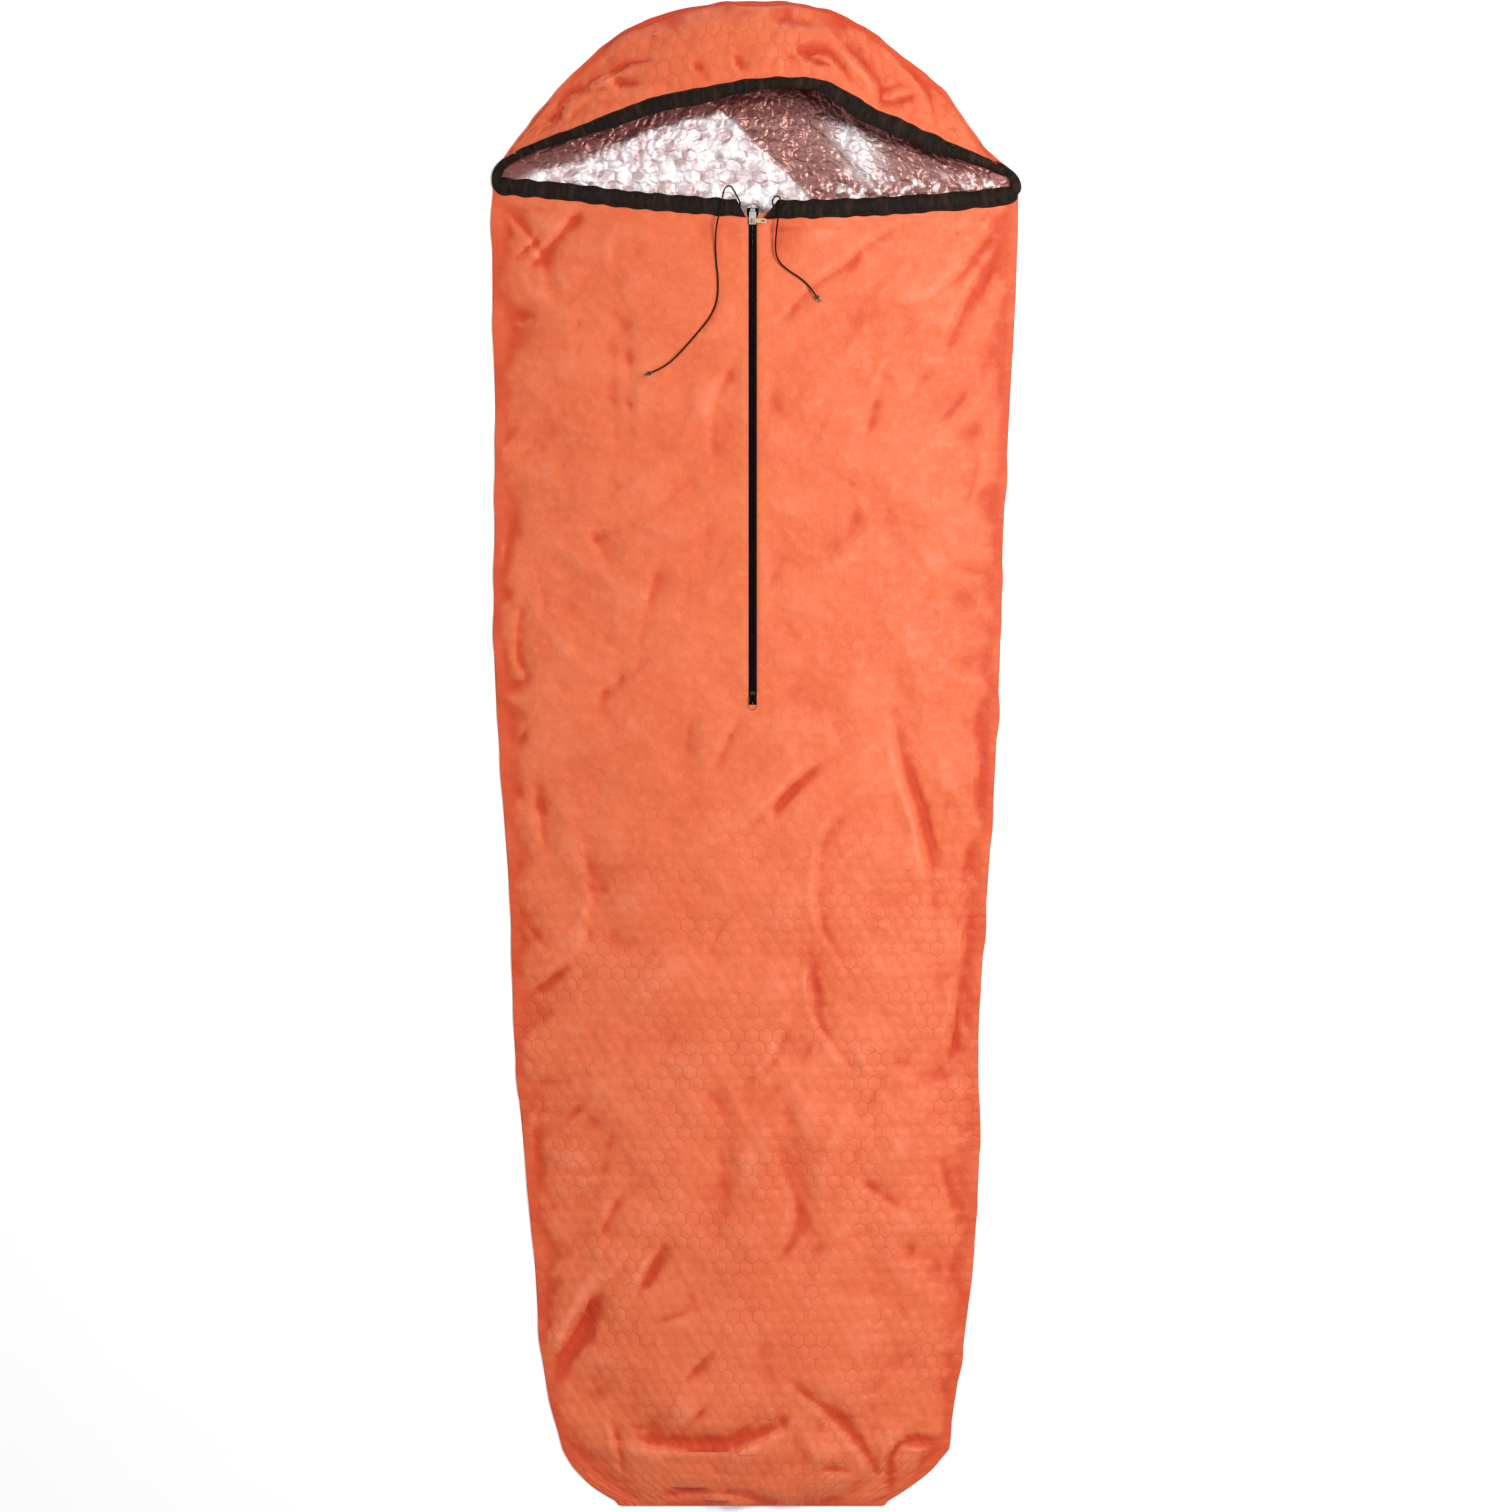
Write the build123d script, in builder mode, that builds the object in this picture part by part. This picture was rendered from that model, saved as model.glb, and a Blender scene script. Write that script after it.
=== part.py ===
"""Emergency bivy sack lying on its back, in millimetres.

+Z is up, +Y points to the crown of the hood and +X to the wearer's left hand side of the
mouth as seen from above. The origin is the centre of the footprint, on the ground.

The sack is a flat back sheet with a low dome over it. The dome is cut by the mouth into a
front panel and a hood. The hood, with its half of the back sheet, lifts about a line across
the back at the mouth's corners. A centre zip runs down the front, and a drawcord in a black
casing goes all the way round the mouth and leaves it on each side of the zip.
"""

import math
import os

from build123d import *

# ---------------------------------------------------------------- driving dimensions
sack_length = 2130.0  # crown to foot, lying flat
shell = 1.2  # outer fabric
film = 0.8  # reflective film on its inside
ply_gap = 0.3  # between fabric and film
seam_allowance = 4.0  # back sheet past the dome, all round
lining_inset = 18.0  # back film short of the dome's edge

fold_y = 806.0  # line across the back that the hood lifts about
fold_z = shell + ply_gap + film + 0.1
fold_gap = 0.3
corner_relief_deg = 40.0  # each side of the fold line, clear of the other

casing_width = 25.0
casing_above = 2.4  # casing past the dome's outer face
casing_below = 3.4
casing_wall = 0.8
cord_diameter = 2.4

zip_x = -4.0
slot_half_width = 6.0
slot_end_y = 82.0
lining_slot_half_width = 15.5
zip_top_y = 768.0
tape_end_y = 68.0
tape_width = 14.0
tape_thickness = 0.7
coil_width = 2.6
coil_height = 2.2
coil_start_y = 88.3
coil_end_y = 762.0
slit_half = 0.6  # half the gap between the two halves of the zip

slider_length = 18.0
slider_width = 10.4
slider_plate = 1.1
slider_y = 753.5  # its middle, with the zip closed
bridge_y = slider_y - 4.2
bridge_rise = 5.05  # bridge bar above the crest
tab_length = 20.0
tab_width = 6.8
tab_tilt_deg = 11.0  # down from level, lying on the front
knot_radius = 3.0

# The dome across the sack: y, left edge, right edge, rise above the back sheet.
foot_stations = [
    (-1061, -190, 179, 8),
    (-1041, -223, 211, 21),
    (-1015, -250, 245, 33),
    (-985, -268, 268, 42),
]
body_stations = [
    (-985, -268, 268, 42),
    (-925, -286, 277, 47),
    (-840, -300, 290, 51),
    (-720, -309, 304, 54),
    (-570, -323, 313, 57),
    (-400, -338, 312, 59),
    (-230, -343, 322, 60),
    (-50, -355, 334, 61),
    (130, -366, 342, 61),
    (310, -366, 347, 61),
    (490, -365, 356, 61),
    (660, -369, 365, 61),
    (fold_y, -368, 369, 61),
]
hood_stations = [
    (fold_y, -368, 369, 61),
    (824, -363, 359, 66),
    (845, -351, 334, 72),
    (890, -318, 298, 77),
    (940, -276, 262, 76),
    (990, -224, 200, 63),
    (1030, -166, 146, 40),
    (1053, -96, 92, 19),
    (1061, -48, 52, 9),
]
# Middle of the casing, in plan: a sagging lip, and a hood edge with its top off centre.
lip_line = [(-372, 799), (0, 766), (374, 797)]
hood_line = [
    (-369, 815),
    (-275, 861),
    (-147, 907),
    (-6, 937),
    (72, 938),
    (156, 908),
    (276, 854),
    (372, 811),
]
# Where each half of the lip casing stops short of the zip: at its lower and upper edge.
left_casing_end = [(-13.5, 753), (-28, 779)]
right_casing_end = [(12, 753), (31, 779)]

tall = 200.0  # more than the height of the sack, for cutters

os.makedirs("parts", exist_ok=True)


def save(piece, label):
    """Labels a finished piece and writes it as one STEP file."""
    piece.label = label
    export_step(piece, f"parts/{label}.step")


crest_z = shell + 61.0  # top of the front panel over the zip
tape_top = crest_z - shell - 0.5
tape_bottom = tape_top - tape_thickness

# ---------------------------------------------------------------- shared shapes
def dome(stations, lift, end_inset=0.0):
    """Closed volume under the dome. lift moves its skin out, or in if negative."""
    first_y, last_y = stations[0][0], stations[-1][0]
    with BuildPart() as volume:
        for y, left, right, rise in stations:
            middle, half = (left + right) / 2, (right - left) / 2
            radius = (half**2 + rise**2) / (2 * rise)
            centre_z = shell + rise - radius
            reach = math.sqrt((radius + lift) ** 2 - (shell - centre_z) ** 2)
            at_y = y + end_inset * ((y == first_y < 0) - (y == last_y > 1000))
            with BuildSketch(Plane.XZ.offset(-at_y)):
                with BuildLine():
                    skin = ThreePointArc(
                        (middle - reach, shell),
                        (middle, shell + rise + lift),
                        (middle + reach, shell),
                    )
                    Line(skin @ 1, skin @ 0)
                make_face()
        loft()
    return volume.part


def plan(line, width):
    """Upright prism along a line in plan, of the given width."""
    with BuildPart() as prism:
        with BuildSketch():
            with BuildLine():
                if len(line) == 3:
                    ThreePointArc(*line)
                else:
                    Spline(*line)
            trace(line_width=width)
        extrude(amount=tall, both=True)
    return prism.part


def side_of_line(line, far_y):
    """Upright prism of all that lies between a line across the sack and y = far_y."""
    with BuildPart() as prism:
        with BuildSketch():
            with BuildLine():
                edge = ThreePointArc(*line) if len(line) == 3 else Spline(*line)
                Polyline(edge @ 1, (600, (edge @ 1).Y), (600, far_y), (-600, far_y),
                         (-600, (edge @ 0).Y), edge @ 0)
            make_face()
        extrude(amount=tall, both=True)
    return prism.part


def relief(towards):
    """Wedge at the fold line kept clear by one half. towards is its side of the line in Y."""
    edge = fold_y + towards * fold_gap / 2
    run = towards * tall * math.tan(math.radians(corner_relief_deg))
    with BuildPart() as wedge:
        with BuildSketch(Plane.YZ):
            with BuildLine():
                Polyline(
                    (edge, -tall),
                    (edge, fold_z),
                    (edge + run, fold_z + tall),
                    (edge - towards * tall, fold_z + tall),
                    (edge - towards * tall, -tall),
                    close=True,
                )
            make_face()
        extrude(amount=600, both=True)
    return wedge.part


def casing_end_cut(end, x_outer):
    """Upright prism from a slanting casing end to x = x_outer, across the lip."""
    (low_x, low_y), (high_x, high_y) = end
    slope = (high_x - low_x) / (high_y - low_y)
    with BuildPart() as prism:
        with BuildSketch():
            with BuildLine():
                Polyline(
                    (low_x - 40 * slope, low_y - 40),
                    (high_x + 60 * slope, high_y + 60),
                    (x_outer, high_y + 60),
                    (x_outer, low_y - 40),
                    close=True,
                )
            make_face()
        extrude(amount=tall, both=True)
    return prism.part


def footprint(inset):
    """Outline of the back sheet in plan, moved in by inset from the dome's edge."""
    low, high = foot_stations[0][0] + inset, hood_stations[-1][0] - inset
    with BuildSketch() as outline:
        with BuildLine():
            for column, sign in ((1, 1), (2, -1)):
                foot, body, hood = (
                    [(row[column] + sign * inset, row[0]) for row in rows]
                    for rows in (foot_stations, body_stations, hood_stations)
                )
                foot[0], hood[-1] = (foot[0][0], low), (hood[-1][0], high)
                Spline(*foot)
                Spline(*body)
                Spline(*hood)
            Line((foot_stations[0][1] + inset, low), (foot_stations[0][2] - inset, low))
            Line((hood_stations[-1][1] + inset, high), (hood_stations[-1][2] - inset, high))
        make_face()
    return outline.sketch


def zip_slot(half_width, end_y):
    """Upright prism for the opening that the zip closes."""
    with BuildPart() as prism:
        with BuildSketch():
            add(half_plane(end_y, 900, zip_x - half_width, zip_x + half_width))
        extrude(amount=tall, both=True)
    return prism.part


def block(x_span, y_span, z_span):
    """Rectangular block between its limits on each axis."""
    with BuildPart() as solid:
        with BuildSketch(Plane.XY.offset(z_span[0])):
            add(half_plane(*y_span, *x_span))
        extrude(amount=z_span[1] - z_span[0])
    return solid.part


def half_plane(y_from, y_to, x_from=-600.0, x_to=600.0):
    """Rectangle in plan."""
    with BuildSketch() as area:
        with BuildLine():
            Polyline((x_from, y_from), (x_to, y_from), (x_to, y_to), (x_from, y_to), close=True)
        make_face()
    return area.sketch


def flat_sheet(z, thickness, inset, y_from, y_to):
    """Level sheet with the sack's outline, between two places along Y."""
    with BuildPart() as sheet:
        with BuildSketch(Plane.XY.offset(z)):
            add(footprint(inset))
            add(half_plane(y_from, y_to), mode=Mode.INTERSECT)
        extrude(amount=thickness)
    return sheet.part


def seam_band(y_from, y_to, x_from=-600.0, x_to=600.0):
    """Level strip of tape just inside the seam, in a window of the plan."""
    with BuildPart() as band:
        with BuildSketch(Plane.XY.offset(fold_z + 0.1)):
            add(footprint(lining_inset + 4))
            add(footprint(lining_inset + 18), mode=Mode.SUBTRACT)
            add(half_plane(y_from, y_to, x_from, x_to), mode=Mode.INTERSECT)
        extrude(amount=0.4)
    return band.part


def bend_radii(points, share=0.45):
    """Radius of each corner's arc, from the shorter of its two runs and its turn."""
    radii = []
    for before, here, after in zip(points, points[1:], points[2:]):
        run_in, run_out = Vector(*here) - Vector(*before), Vector(*after) - Vector(*here)
        half_turn = math.radians(run_in.get_angle(run_out)) / 2
        radii.append(share * min(run_in.length, run_out.length) / math.tan(half_turn))
    return radii


def cord_tube(points):
    """Round cord along straight runs joined by tangent arcs."""
    with BuildPart() as tube:
        with BuildLine() as path:
            FilletPolyline(*points, radius=bend_radii(points))
        with BuildSketch(path.line ^ 0):
            Circle(cord_diameter / 2)
        sweep()
    return tube.part


def on_dome(volume, x, y):
    """Highest point of a volume above a place in plan."""
    hits = volume.find_intersection_points(Axis((x, y, -tall), (0, 0, 1)))
    return max((hit[0] for hit in hits), key=lambda point: point.Z)


# ---------------------------------------------------------------- dome skins
casing_mid = (casing_above - casing_below) / 2
skins = (
    casing_above,
    casing_above - casing_wall,
    0.0,
    casing_mid,
    -shell,
    -shell - ply_gap,
    -shell - ply_gap - film,
    casing_wall - casing_below,
    -casing_below,
)
body_dome = {lift: dome(body_stations, lift) for lift in skins}
hood_dome = {lift: dome(hood_stations, lift, 0 if lift >= 0 else -lift) for lift in skins}
foot_dome = {
    lift: dome(foot_stations, lift, -lift)
    for lift in (0.0, -shell, -shell - ply_gap, -shell - ply_gap - film)
}

lip_band = plan(lip_line, casing_width)
lip_bore = plan(lip_line, casing_width - 2 * casing_wall)
hood_band = plan(hood_line, casing_width)
hood_bore = plan(hood_line, casing_width - 2 * casing_wall)
above_lip = side_of_line(lip_line, 1300)
below_hood_edge = side_of_line(hood_line, 500)
body_relief, hood_relief = relief(-1), relief(+1)


# ---------------------------------------------------------------- front panel and lining
with BuildPart() as front_panel:
    add(body_dome[0.0])
    add(body_dome[-shell], mode=Mode.SUBTRACT)
    add(above_lip, mode=Mode.SUBTRACT)
    add(lip_band, mode=Mode.SUBTRACT)
    add(zip_slot(slot_half_width, slot_end_y), mode=Mode.SUBTRACT)
save(front_panel.part, "front_panel")

with BuildPart() as front_lining:
    add(body_dome[-shell - ply_gap])
    add(body_dome[-shell - ply_gap - film], mode=Mode.SUBTRACT)
    add(above_lip, mode=Mode.SUBTRACT)
    add(lip_band, mode=Mode.SUBTRACT)
    add(zip_slot(lining_slot_half_width, tape_end_y - 2), mode=Mode.SUBTRACT)
save(front_lining.part, "front_lining")

# ---------------------------------------------------------------- foot end
with BuildPart() as foot_panel:
    add(foot_dome[0.0])
    add(foot_dome[-shell], mode=Mode.SUBTRACT)
save(foot_panel.part, "foot_panel")

with BuildPart() as foot_lining:
    add(foot_dome[-shell - ply_gap])
    add(foot_dome[-shell - ply_gap - film], mode=Mode.SUBTRACT)
save(foot_lining.part, "foot_lining")

# ---------------------------------------------------------------- back sheets
with BuildPart() as back_panel:
    add(flat_sheet(0, shell, -seam_allowance, -1100, fold_y - fold_gap / 2))
save(back_panel.part, "back_panel")

with BuildPart() as back_lining:
    add(flat_sheet(shell + ply_gap, film, lining_inset, -1100, fold_y - fold_gap / 2))
save(back_lining.part, "back_lining")

with BuildPart() as hood_back_panel:
    add(flat_sheet(0, shell, -seam_allowance, fold_y + fold_gap / 2, 1100))
save(hood_back_panel.part, "hood_back_panel")

with BuildPart() as hood_back_lining:
    add(flat_sheet(shell + ply_gap, film, lining_inset, fold_y + fold_gap / 2, 1100))
save(hood_back_lining.part, "hood_back_lining")

# ---------------------------------------------------------------- seam tapes
with BuildPart() as side_seam_tape_left:
    add(seam_band(-980, fold_y - 30, x_to=0))
save(side_seam_tape_left.part, "side_seam_tape_left")

with BuildPart() as side_seam_tape_right:
    add(seam_band(-980, fold_y - 30, x_from=0))
save(side_seam_tape_right.part, "side_seam_tape_right")

with BuildPart() as foot_seam_tape:
    add(seam_band(-1100, -981))
save(foot_seam_tape.part, "foot_seam_tape")

with BuildPart() as crown_seam_tape:
    add(seam_band(fold_y + 30, 1100))
save(crown_seam_tape.part, "crown_seam_tape")

# ---------------------------------------------------------------- hood
with BuildPart() as hood_panel:
    add(hood_dome[0.0])
    add(hood_dome[-shell], mode=Mode.SUBTRACT)
    add(below_hood_edge, mode=Mode.SUBTRACT)
    add(hood_band, mode=Mode.SUBTRACT)
    add(hood_relief, mode=Mode.SUBTRACT)
save(hood_panel.part, "hood_panel")

with BuildPart() as hood_lining:
    add(hood_dome[-shell - ply_gap])
    add(hood_dome[-shell - ply_gap - film], mode=Mode.SUBTRACT)
    add(below_hood_edge, mode=Mode.SUBTRACT)
    add(hood_band, mode=Mode.SUBTRACT)
    add(hood_relief, mode=Mode.SUBTRACT)
save(hood_lining.part, "hood_lining")

# ---------------------------------------------------------------- drawcord casing
def channel(domes, band, bore):
    """Flattened hollow channel following a line across a dome."""
    with BuildPart() as hollow:
        add(domes[casing_above - casing_wall])
        add(domes[casing_wall - casing_below], mode=Mode.SUBTRACT)
        add(bore, mode=Mode.INTERSECT)
    with BuildPart() as tube:
        add(domes[casing_above])
        add(domes[-casing_below], mode=Mode.SUBTRACT)
        add(band, mode=Mode.INTERSECT)
        add(hollow.part, mode=Mode.SUBTRACT)
    return tube.part


with BuildPart() as hood_casing:
    add(channel(hood_dome, hood_band, hood_bore))
    add(hood_relief, mode=Mode.SUBTRACT)
save(hood_casing.part, "hood_casing")

with BuildPart() as lip_casing:
    add(channel(body_dome, lip_band, lip_bore))
    add(body_relief, mode=Mode.SUBTRACT)

with BuildPart() as lip_casing_left:
    add(lip_casing.part)
    add(casing_end_cut(left_casing_end, -600), mode=Mode.INTERSECT)
save(lip_casing_left.part, "lip_casing_left")

with BuildPart() as lip_casing_right:
    add(lip_casing.part)
    add(casing_end_cut(right_casing_end, 600), mode=Mode.INTERSECT)
save(lip_casing_right.part, "lip_casing_right")

# ---------------------------------------------------------------- drawcord
# The tails: x, y and height above the front panel of each corner of the route.
left_tail_route = [
    (-27, 767, -0.5),
    (-20, 770.5, -0.2),
    (-24, 780.5, 1.2),
    (-30, 791.5, 3.0),
    (-35, 799, 4.4),
    (-42.5, 797, 5.2),
    (-46, 786, 5.9),
    (-48.5, 768, 6.5),
    (-54, 748, 6.3),
    (-56.5, 728, 1.9),
    (-56.3, 700, 1.6),
    (-52.6, 669, 1.6),
    (-53, 640, 1.6),
    (-62, 616, 1.6),
    (-84, 589, 1.6),
    (-108, 562, 1.6),
    (-128, 544, 1.7),
    (-146, 537, 3.2),
]
right_tail_route = [
    (33, 767.7, -0.5),
    (24.5, 770, -0.2),
    (23.5, 779, 1.6),
    (28.5, 785, 3.8),
    (35, 782, 5.8),
    (34.5, 770, 6.5),
    (31, 748, 6.2),
    (28.6, 728, 1.9),
    (27.7, 706, 1.6),
    (33, 691, 1.6),
    (47, 679, 1.6),
    (64, 668.5, 1.6),
    (76, 657.5, 1.7),
    (84.5, 645, 3.0),
]
crest_radius = (365.0**2 + 61.0**2) / (2 * 61.0)  # of the front panel's arc across


def laid(route):
    """Corners of a tail, at their heights above the front panel."""
    return [(x, y, crest_z - x**2 / (2 * crest_radius) + rise) for x, y, rise in route]


def places_on(line, shares):
    """Places in plan at shares of the length of a line."""
    edge = ThreePointArc(*line) if len(line) == 3 else Spline(*line)
    return [((edge @ share).X, (edge @ share).Y) for share in shares]


def run_inside(volume, places):
    """Cord along the skin of a volume, through places in plan."""
    with BuildPart() as run:
        with BuildLine() as path:
            Spline(*[on_dome(volume, x, y) for x, y in places])
        with BuildSketch(path.line ^ 0):
            Circle(cord_diameter / 2)
        sweep()
    return run.part


def knot_and_end(corners, end_length):
    """Stopper knot past the last corner of a tail, with the cord's free end."""
    tip, before = Vector(*corners[-1]), Vector(*corners[-2])
    heading = (tip - before).normalized()
    with BuildPart() as knot:
        with BuildSketch(Plane(tip + heading * knot_radius, z_dir=heading)):
            Circle(cord_diameter / 2)
        extrude(amount=knot_radius + end_length)
        with Locations(tip + heading * knot_radius):
            Sphere(knot_radius)
    return knot.part


left_tail = laid(left_tail_route)
right_tail = laid(right_tail_route)
for side, corners in (("left", left_tail), ("right", right_tail)):
    print(side, "tail bends, mm:", [round(radius, 1) for radius in bend_radii(corners)])
    print(side, "tail corners, mm:", [tuple(round(v, 1) for v in point) for point in corners])
    tail = cord_tube(corners)
    print(side, "tail length, mm:", round(tail.volume / (math.pi * cord_diameter**2 / 4), 1))
    save(tail, f"drawcord_tail_{side}")
    save(knot_and_end(corners, 7.0), f"cord_knot_{side}")

left_places = places_on(lip_line, (0.03, 0.1, 0.2, 0.3, 0.4)) + [(-27.6, 766.4)]
right_places = [(33.7, 766.7)] + places_on(lip_line, (0.6, 0.7, 0.8, 0.9, 0.97))
hood_places = places_on(hood_line, [0.025 + 0.095 * step for step in range(11)])
save(run_inside(body_dome[casing_mid], left_places), "drawcord_run_left")
save(run_inside(body_dome[casing_mid], right_places), "drawcord_run_right")
save(run_inside(hood_dome[casing_mid], hood_places), "drawcord_run_hood")

# ---------------------------------------------------------------- zip
for side, sign in (("left", -1), ("right", 1)):
    inner, outer, narrow = (zip_x + sign * d for d in (slit_half, slit_half + tape_width, 8.4))
    with BuildPart() as zip_tape:
        with BuildSketch(Plane.XY.offset(tape_bottom)):
            with BuildLine():
                Polyline(
                    (inner, tape_end_y),
                    (outer, tape_end_y),
                    (outer, zip_top_y - 20),
                    (narrow, zip_top_y - 16),
                    (narrow, zip_top_y),
                    (inner, zip_top_y),
                    close=True,
                )
            make_face()
        extrude(amount=tape_thickness)
    save(zip_tape.part, f"zip_tape_{side}")

    x_span = (inner, zip_x + sign * (slit_half + coil_width))
    with BuildPart() as zip_coil:
        add(block(x_span, (coil_start_y, coil_end_y), (tape_top, tape_top + coil_height)))
    save(zip_coil.part, f"zip_coil_{side}")

    with BuildPart() as zip_top_stop:
        add(block(x_span, (763.5, 766.5), (tape_top, tape_top + coil_height + 0.6)))
    save(zip_top_stop.part, f"zip_top_stop_{side}")

with BuildPart() as zip_bottom_stop:
    add(block((zip_x - 3.6, zip_x + 3.6), (83, 88), (tape_top, tape_top + coil_height + 0.6)))
save(zip_bottom_stop.part, "zip_bottom_stop")

with BuildPart() as zip_end_bartack:
    with BuildSketch(Plane.XY.offset(crest_z + 0.1)):
        with BuildLine():
            Polyline((zip_x - 6, 70), (zip_x - 6, 81.5), (zip_x + 6, 81.5), (zip_x + 6, 70))
            ThreePointArc((zip_x + 6, 70), (zip_x, 62), (zip_x - 6, 70))
        make_face()
    extrude(amount=0.8)
save(zip_end_bartack.part, "zip_end_bartack")

# ---------------------------------------------------------------- slider and pull tab
top_plate_z = tape_top + coil_height + 0.3
bottom_plate_z = tape_bottom - 0.4 - slider_plate
half_width = slider_width / 2
nose_y, tail_y = slider_y + slider_length / 2, slider_y - slider_length / 2


def slider_plate_at(z, thickness):
    """Plate of the slider: wide at the nose, narrower at the tail."""
    with BuildPart() as plate:
        with BuildSketch(Plane.XY.offset(z)):
            with BuildLine():
                Polyline(
                    (zip_x - half_width + 0.6, tail_y),
                    (zip_x + half_width - 0.6, tail_y),
                    (zip_x + half_width, slider_y),
                    (zip_x + half_width - 0.8, nose_y),
                    (zip_x - half_width + 0.8, nose_y),
                    (zip_x - half_width, slider_y),
                    close=True,
                )
            make_face()
        extrude(amount=thickness)
    return plate.part


with BuildPart() as zip_slider_body:
    add(slider_plate_at(top_plate_z, slider_plate))
    add(slider_plate_at(bottom_plate_z, slider_plate))
    for sign in (-1, 1):
        flange_x = (zip_x + sign * 3.9, zip_x + sign * (half_width - 0.6))
        add(block(flange_x, (tail_y, nose_y), (tape_top + 0.4, top_plate_z)))
    post_x = (zip_x - 0.3, zip_x + 0.3)
    add(block(post_x, (slider_y + 1, nose_y - 1), (bottom_plate_z, top_plate_z + 0.2)))
save(zip_slider_body.part, "zip_slider_body")

with BuildPart() as zip_slider_crown:
    arch_x = (zip_x - 0.75, zip_x + 0.75)
    arch_base = top_plate_z + slider_plate
    add(block(arch_x, (bridge_y - 4.4, bridge_y + 4.4), (arch_base, crest_z + bridge_rise + 0.75)))
    hollow_z = (arch_base, crest_z + bridge_rise - 0.75)
    add(block(arch_x, (bridge_y - 3.4, bridge_y + 3.4), hollow_z), mode=Mode.SUBTRACT)
save(zip_slider_crown.part, "zip_slider_crown")

tilt = math.radians(tab_tilt_deg)
half_tab = tab_width / 2
tab_plane = Plane(
    origin=(zip_x, bridge_y, crest_z + bridge_rise),
    x_dir=(math.cos(tilt), 0, -math.sin(tilt)),
    z_dir=(math.sin(tilt), 0, math.cos(tilt)),
)
with BuildPart() as zip_pull_tab:
    with BuildSketch(tab_plane):
        with BuildLine():
            Polyline((17, -half_tab), (2, 0.4 - half_tab), (2, half_tab - 0.4), (17, half_tab))
            ThreePointArc((17, half_tab), (tab_length, 0), (17, -half_tab))
        make_face()
        with Locations((14.6, 0)):
            SlotOverall(5.4, 2.6, mode=Mode.SUBTRACT)
    extrude(amount=0.5, both=True)
    with BuildSketch(Plane.XZ.offset(-bridge_y)):
        with Locations((zip_x, crest_z + bridge_rise)):
            Circle(2.4)
    extrude(amount=half_tab - 0.4, both=True)
    with BuildSketch(Plane.XZ.offset(-bridge_y)):
        with Locations((zip_x, crest_z + bridge_rise)):
            Circle(1.5)
    extrude(amount=4, both=True, mode=Mode.SUBTRACT)
save(zip_pull_tab.part, "zip_pull_tab")
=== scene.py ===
"""Looks of the emergency bivy sack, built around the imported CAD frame. Metres, +Z up, +Y to the crown."""

import math

import bpy
import numpy as np
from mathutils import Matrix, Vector


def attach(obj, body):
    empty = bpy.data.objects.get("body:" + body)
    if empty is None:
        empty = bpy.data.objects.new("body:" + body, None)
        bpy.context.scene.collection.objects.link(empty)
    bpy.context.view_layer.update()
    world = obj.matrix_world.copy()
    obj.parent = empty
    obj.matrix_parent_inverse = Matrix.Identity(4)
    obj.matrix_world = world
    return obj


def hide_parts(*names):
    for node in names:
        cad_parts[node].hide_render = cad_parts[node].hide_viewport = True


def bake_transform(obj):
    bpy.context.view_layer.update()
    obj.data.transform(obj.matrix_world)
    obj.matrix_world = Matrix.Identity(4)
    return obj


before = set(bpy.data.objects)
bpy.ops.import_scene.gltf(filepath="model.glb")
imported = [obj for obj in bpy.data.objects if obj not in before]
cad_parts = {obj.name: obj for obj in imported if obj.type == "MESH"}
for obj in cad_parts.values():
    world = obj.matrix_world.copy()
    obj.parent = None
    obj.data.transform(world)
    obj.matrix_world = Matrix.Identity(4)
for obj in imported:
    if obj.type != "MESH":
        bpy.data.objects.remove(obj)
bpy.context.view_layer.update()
scene = bpy.context.scene

# ---------------------------------------------------------------- camera and light
# The lens and the sensor are in millimetres. The view is as wide as the sack is long at VIEW_HEIGHT,
# halfway up the dome.
LENS, SENSOR = 135.0, 36.0
VIEW_WIDTH, VIEW_HEIGHT = 2.1315, 0.04
VIEW_MIDDLE = (0.0007, -0.0028)
camera_data = bpy.data.cameras.new("camera")
camera_data.lens = LENS
camera_data.clip_end = 50
camera = bpy.data.objects.new("camera", camera_data)
scene.collection.objects.link(camera)
camera.location = (*VIEW_MIDDLE, VIEW_HEIGHT + VIEW_WIDTH * LENS / SENSOR)
scene.camera = camera
scene.view_settings.view_transform = "Standard"
scene.view_settings.look = "None"


def area_light(name, place, target, size, power):
    """Round lamp of a size in metres and a power in watts, turned towards target."""
    data = bpy.data.lights.new(name, "AREA")
    data.shape, data.size, data.energy = "DISK", size, power
    lamp = bpy.data.objects.new(name, data)
    scene.collection.objects.link(lamp)
    lamp.location = place
    lamp.rotation_mode = "QUATERNION"
    lamp.rotation_quaternion = (Vector(place) - Vector(target)).to_track_quat("Z", "Y")


area_light("key", (2.1, 0.9, 2.7), (0, 0.2, 0), size=1.6, power=98)
area_light("fill", (-3.0, 1.0, 4.0), (0, 0, 0), size=3.0, power=34)
ROOM_LIGHT = 0.62
world = bpy.data.worlds.new("world")
scene.world = world
world.use_nodes = True
background = world.node_tree.nodes["Background"]
background.inputs["Color"].default_value = (1, 1, 1, 1)
background.inputs["Strength"].default_value = ROOM_LIGHT


# ---------------------------------------------------------------- node helpers
def node(tree, kind, inputs=None, **settings):
    """One shader node with its settings, and its inputs set to numbers or linked to sockets."""
    made = tree.nodes.new("ShaderNode" + kind)
    for key, value in settings.items():
        setattr(made, key, value)
    for key, value in (inputs or {}).items():
        if isinstance(value, bpy.types.NodeSocket):
            tree.links.new(value, made.inputs[key])
        else:
            made.inputs[key].default_value = value
    return made


def calc(tree, operation, *values):
    """Arithmetic on numbers."""
    return node(tree, "Math", dict(enumerate(values)), operation=operation).outputs[0]


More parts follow.
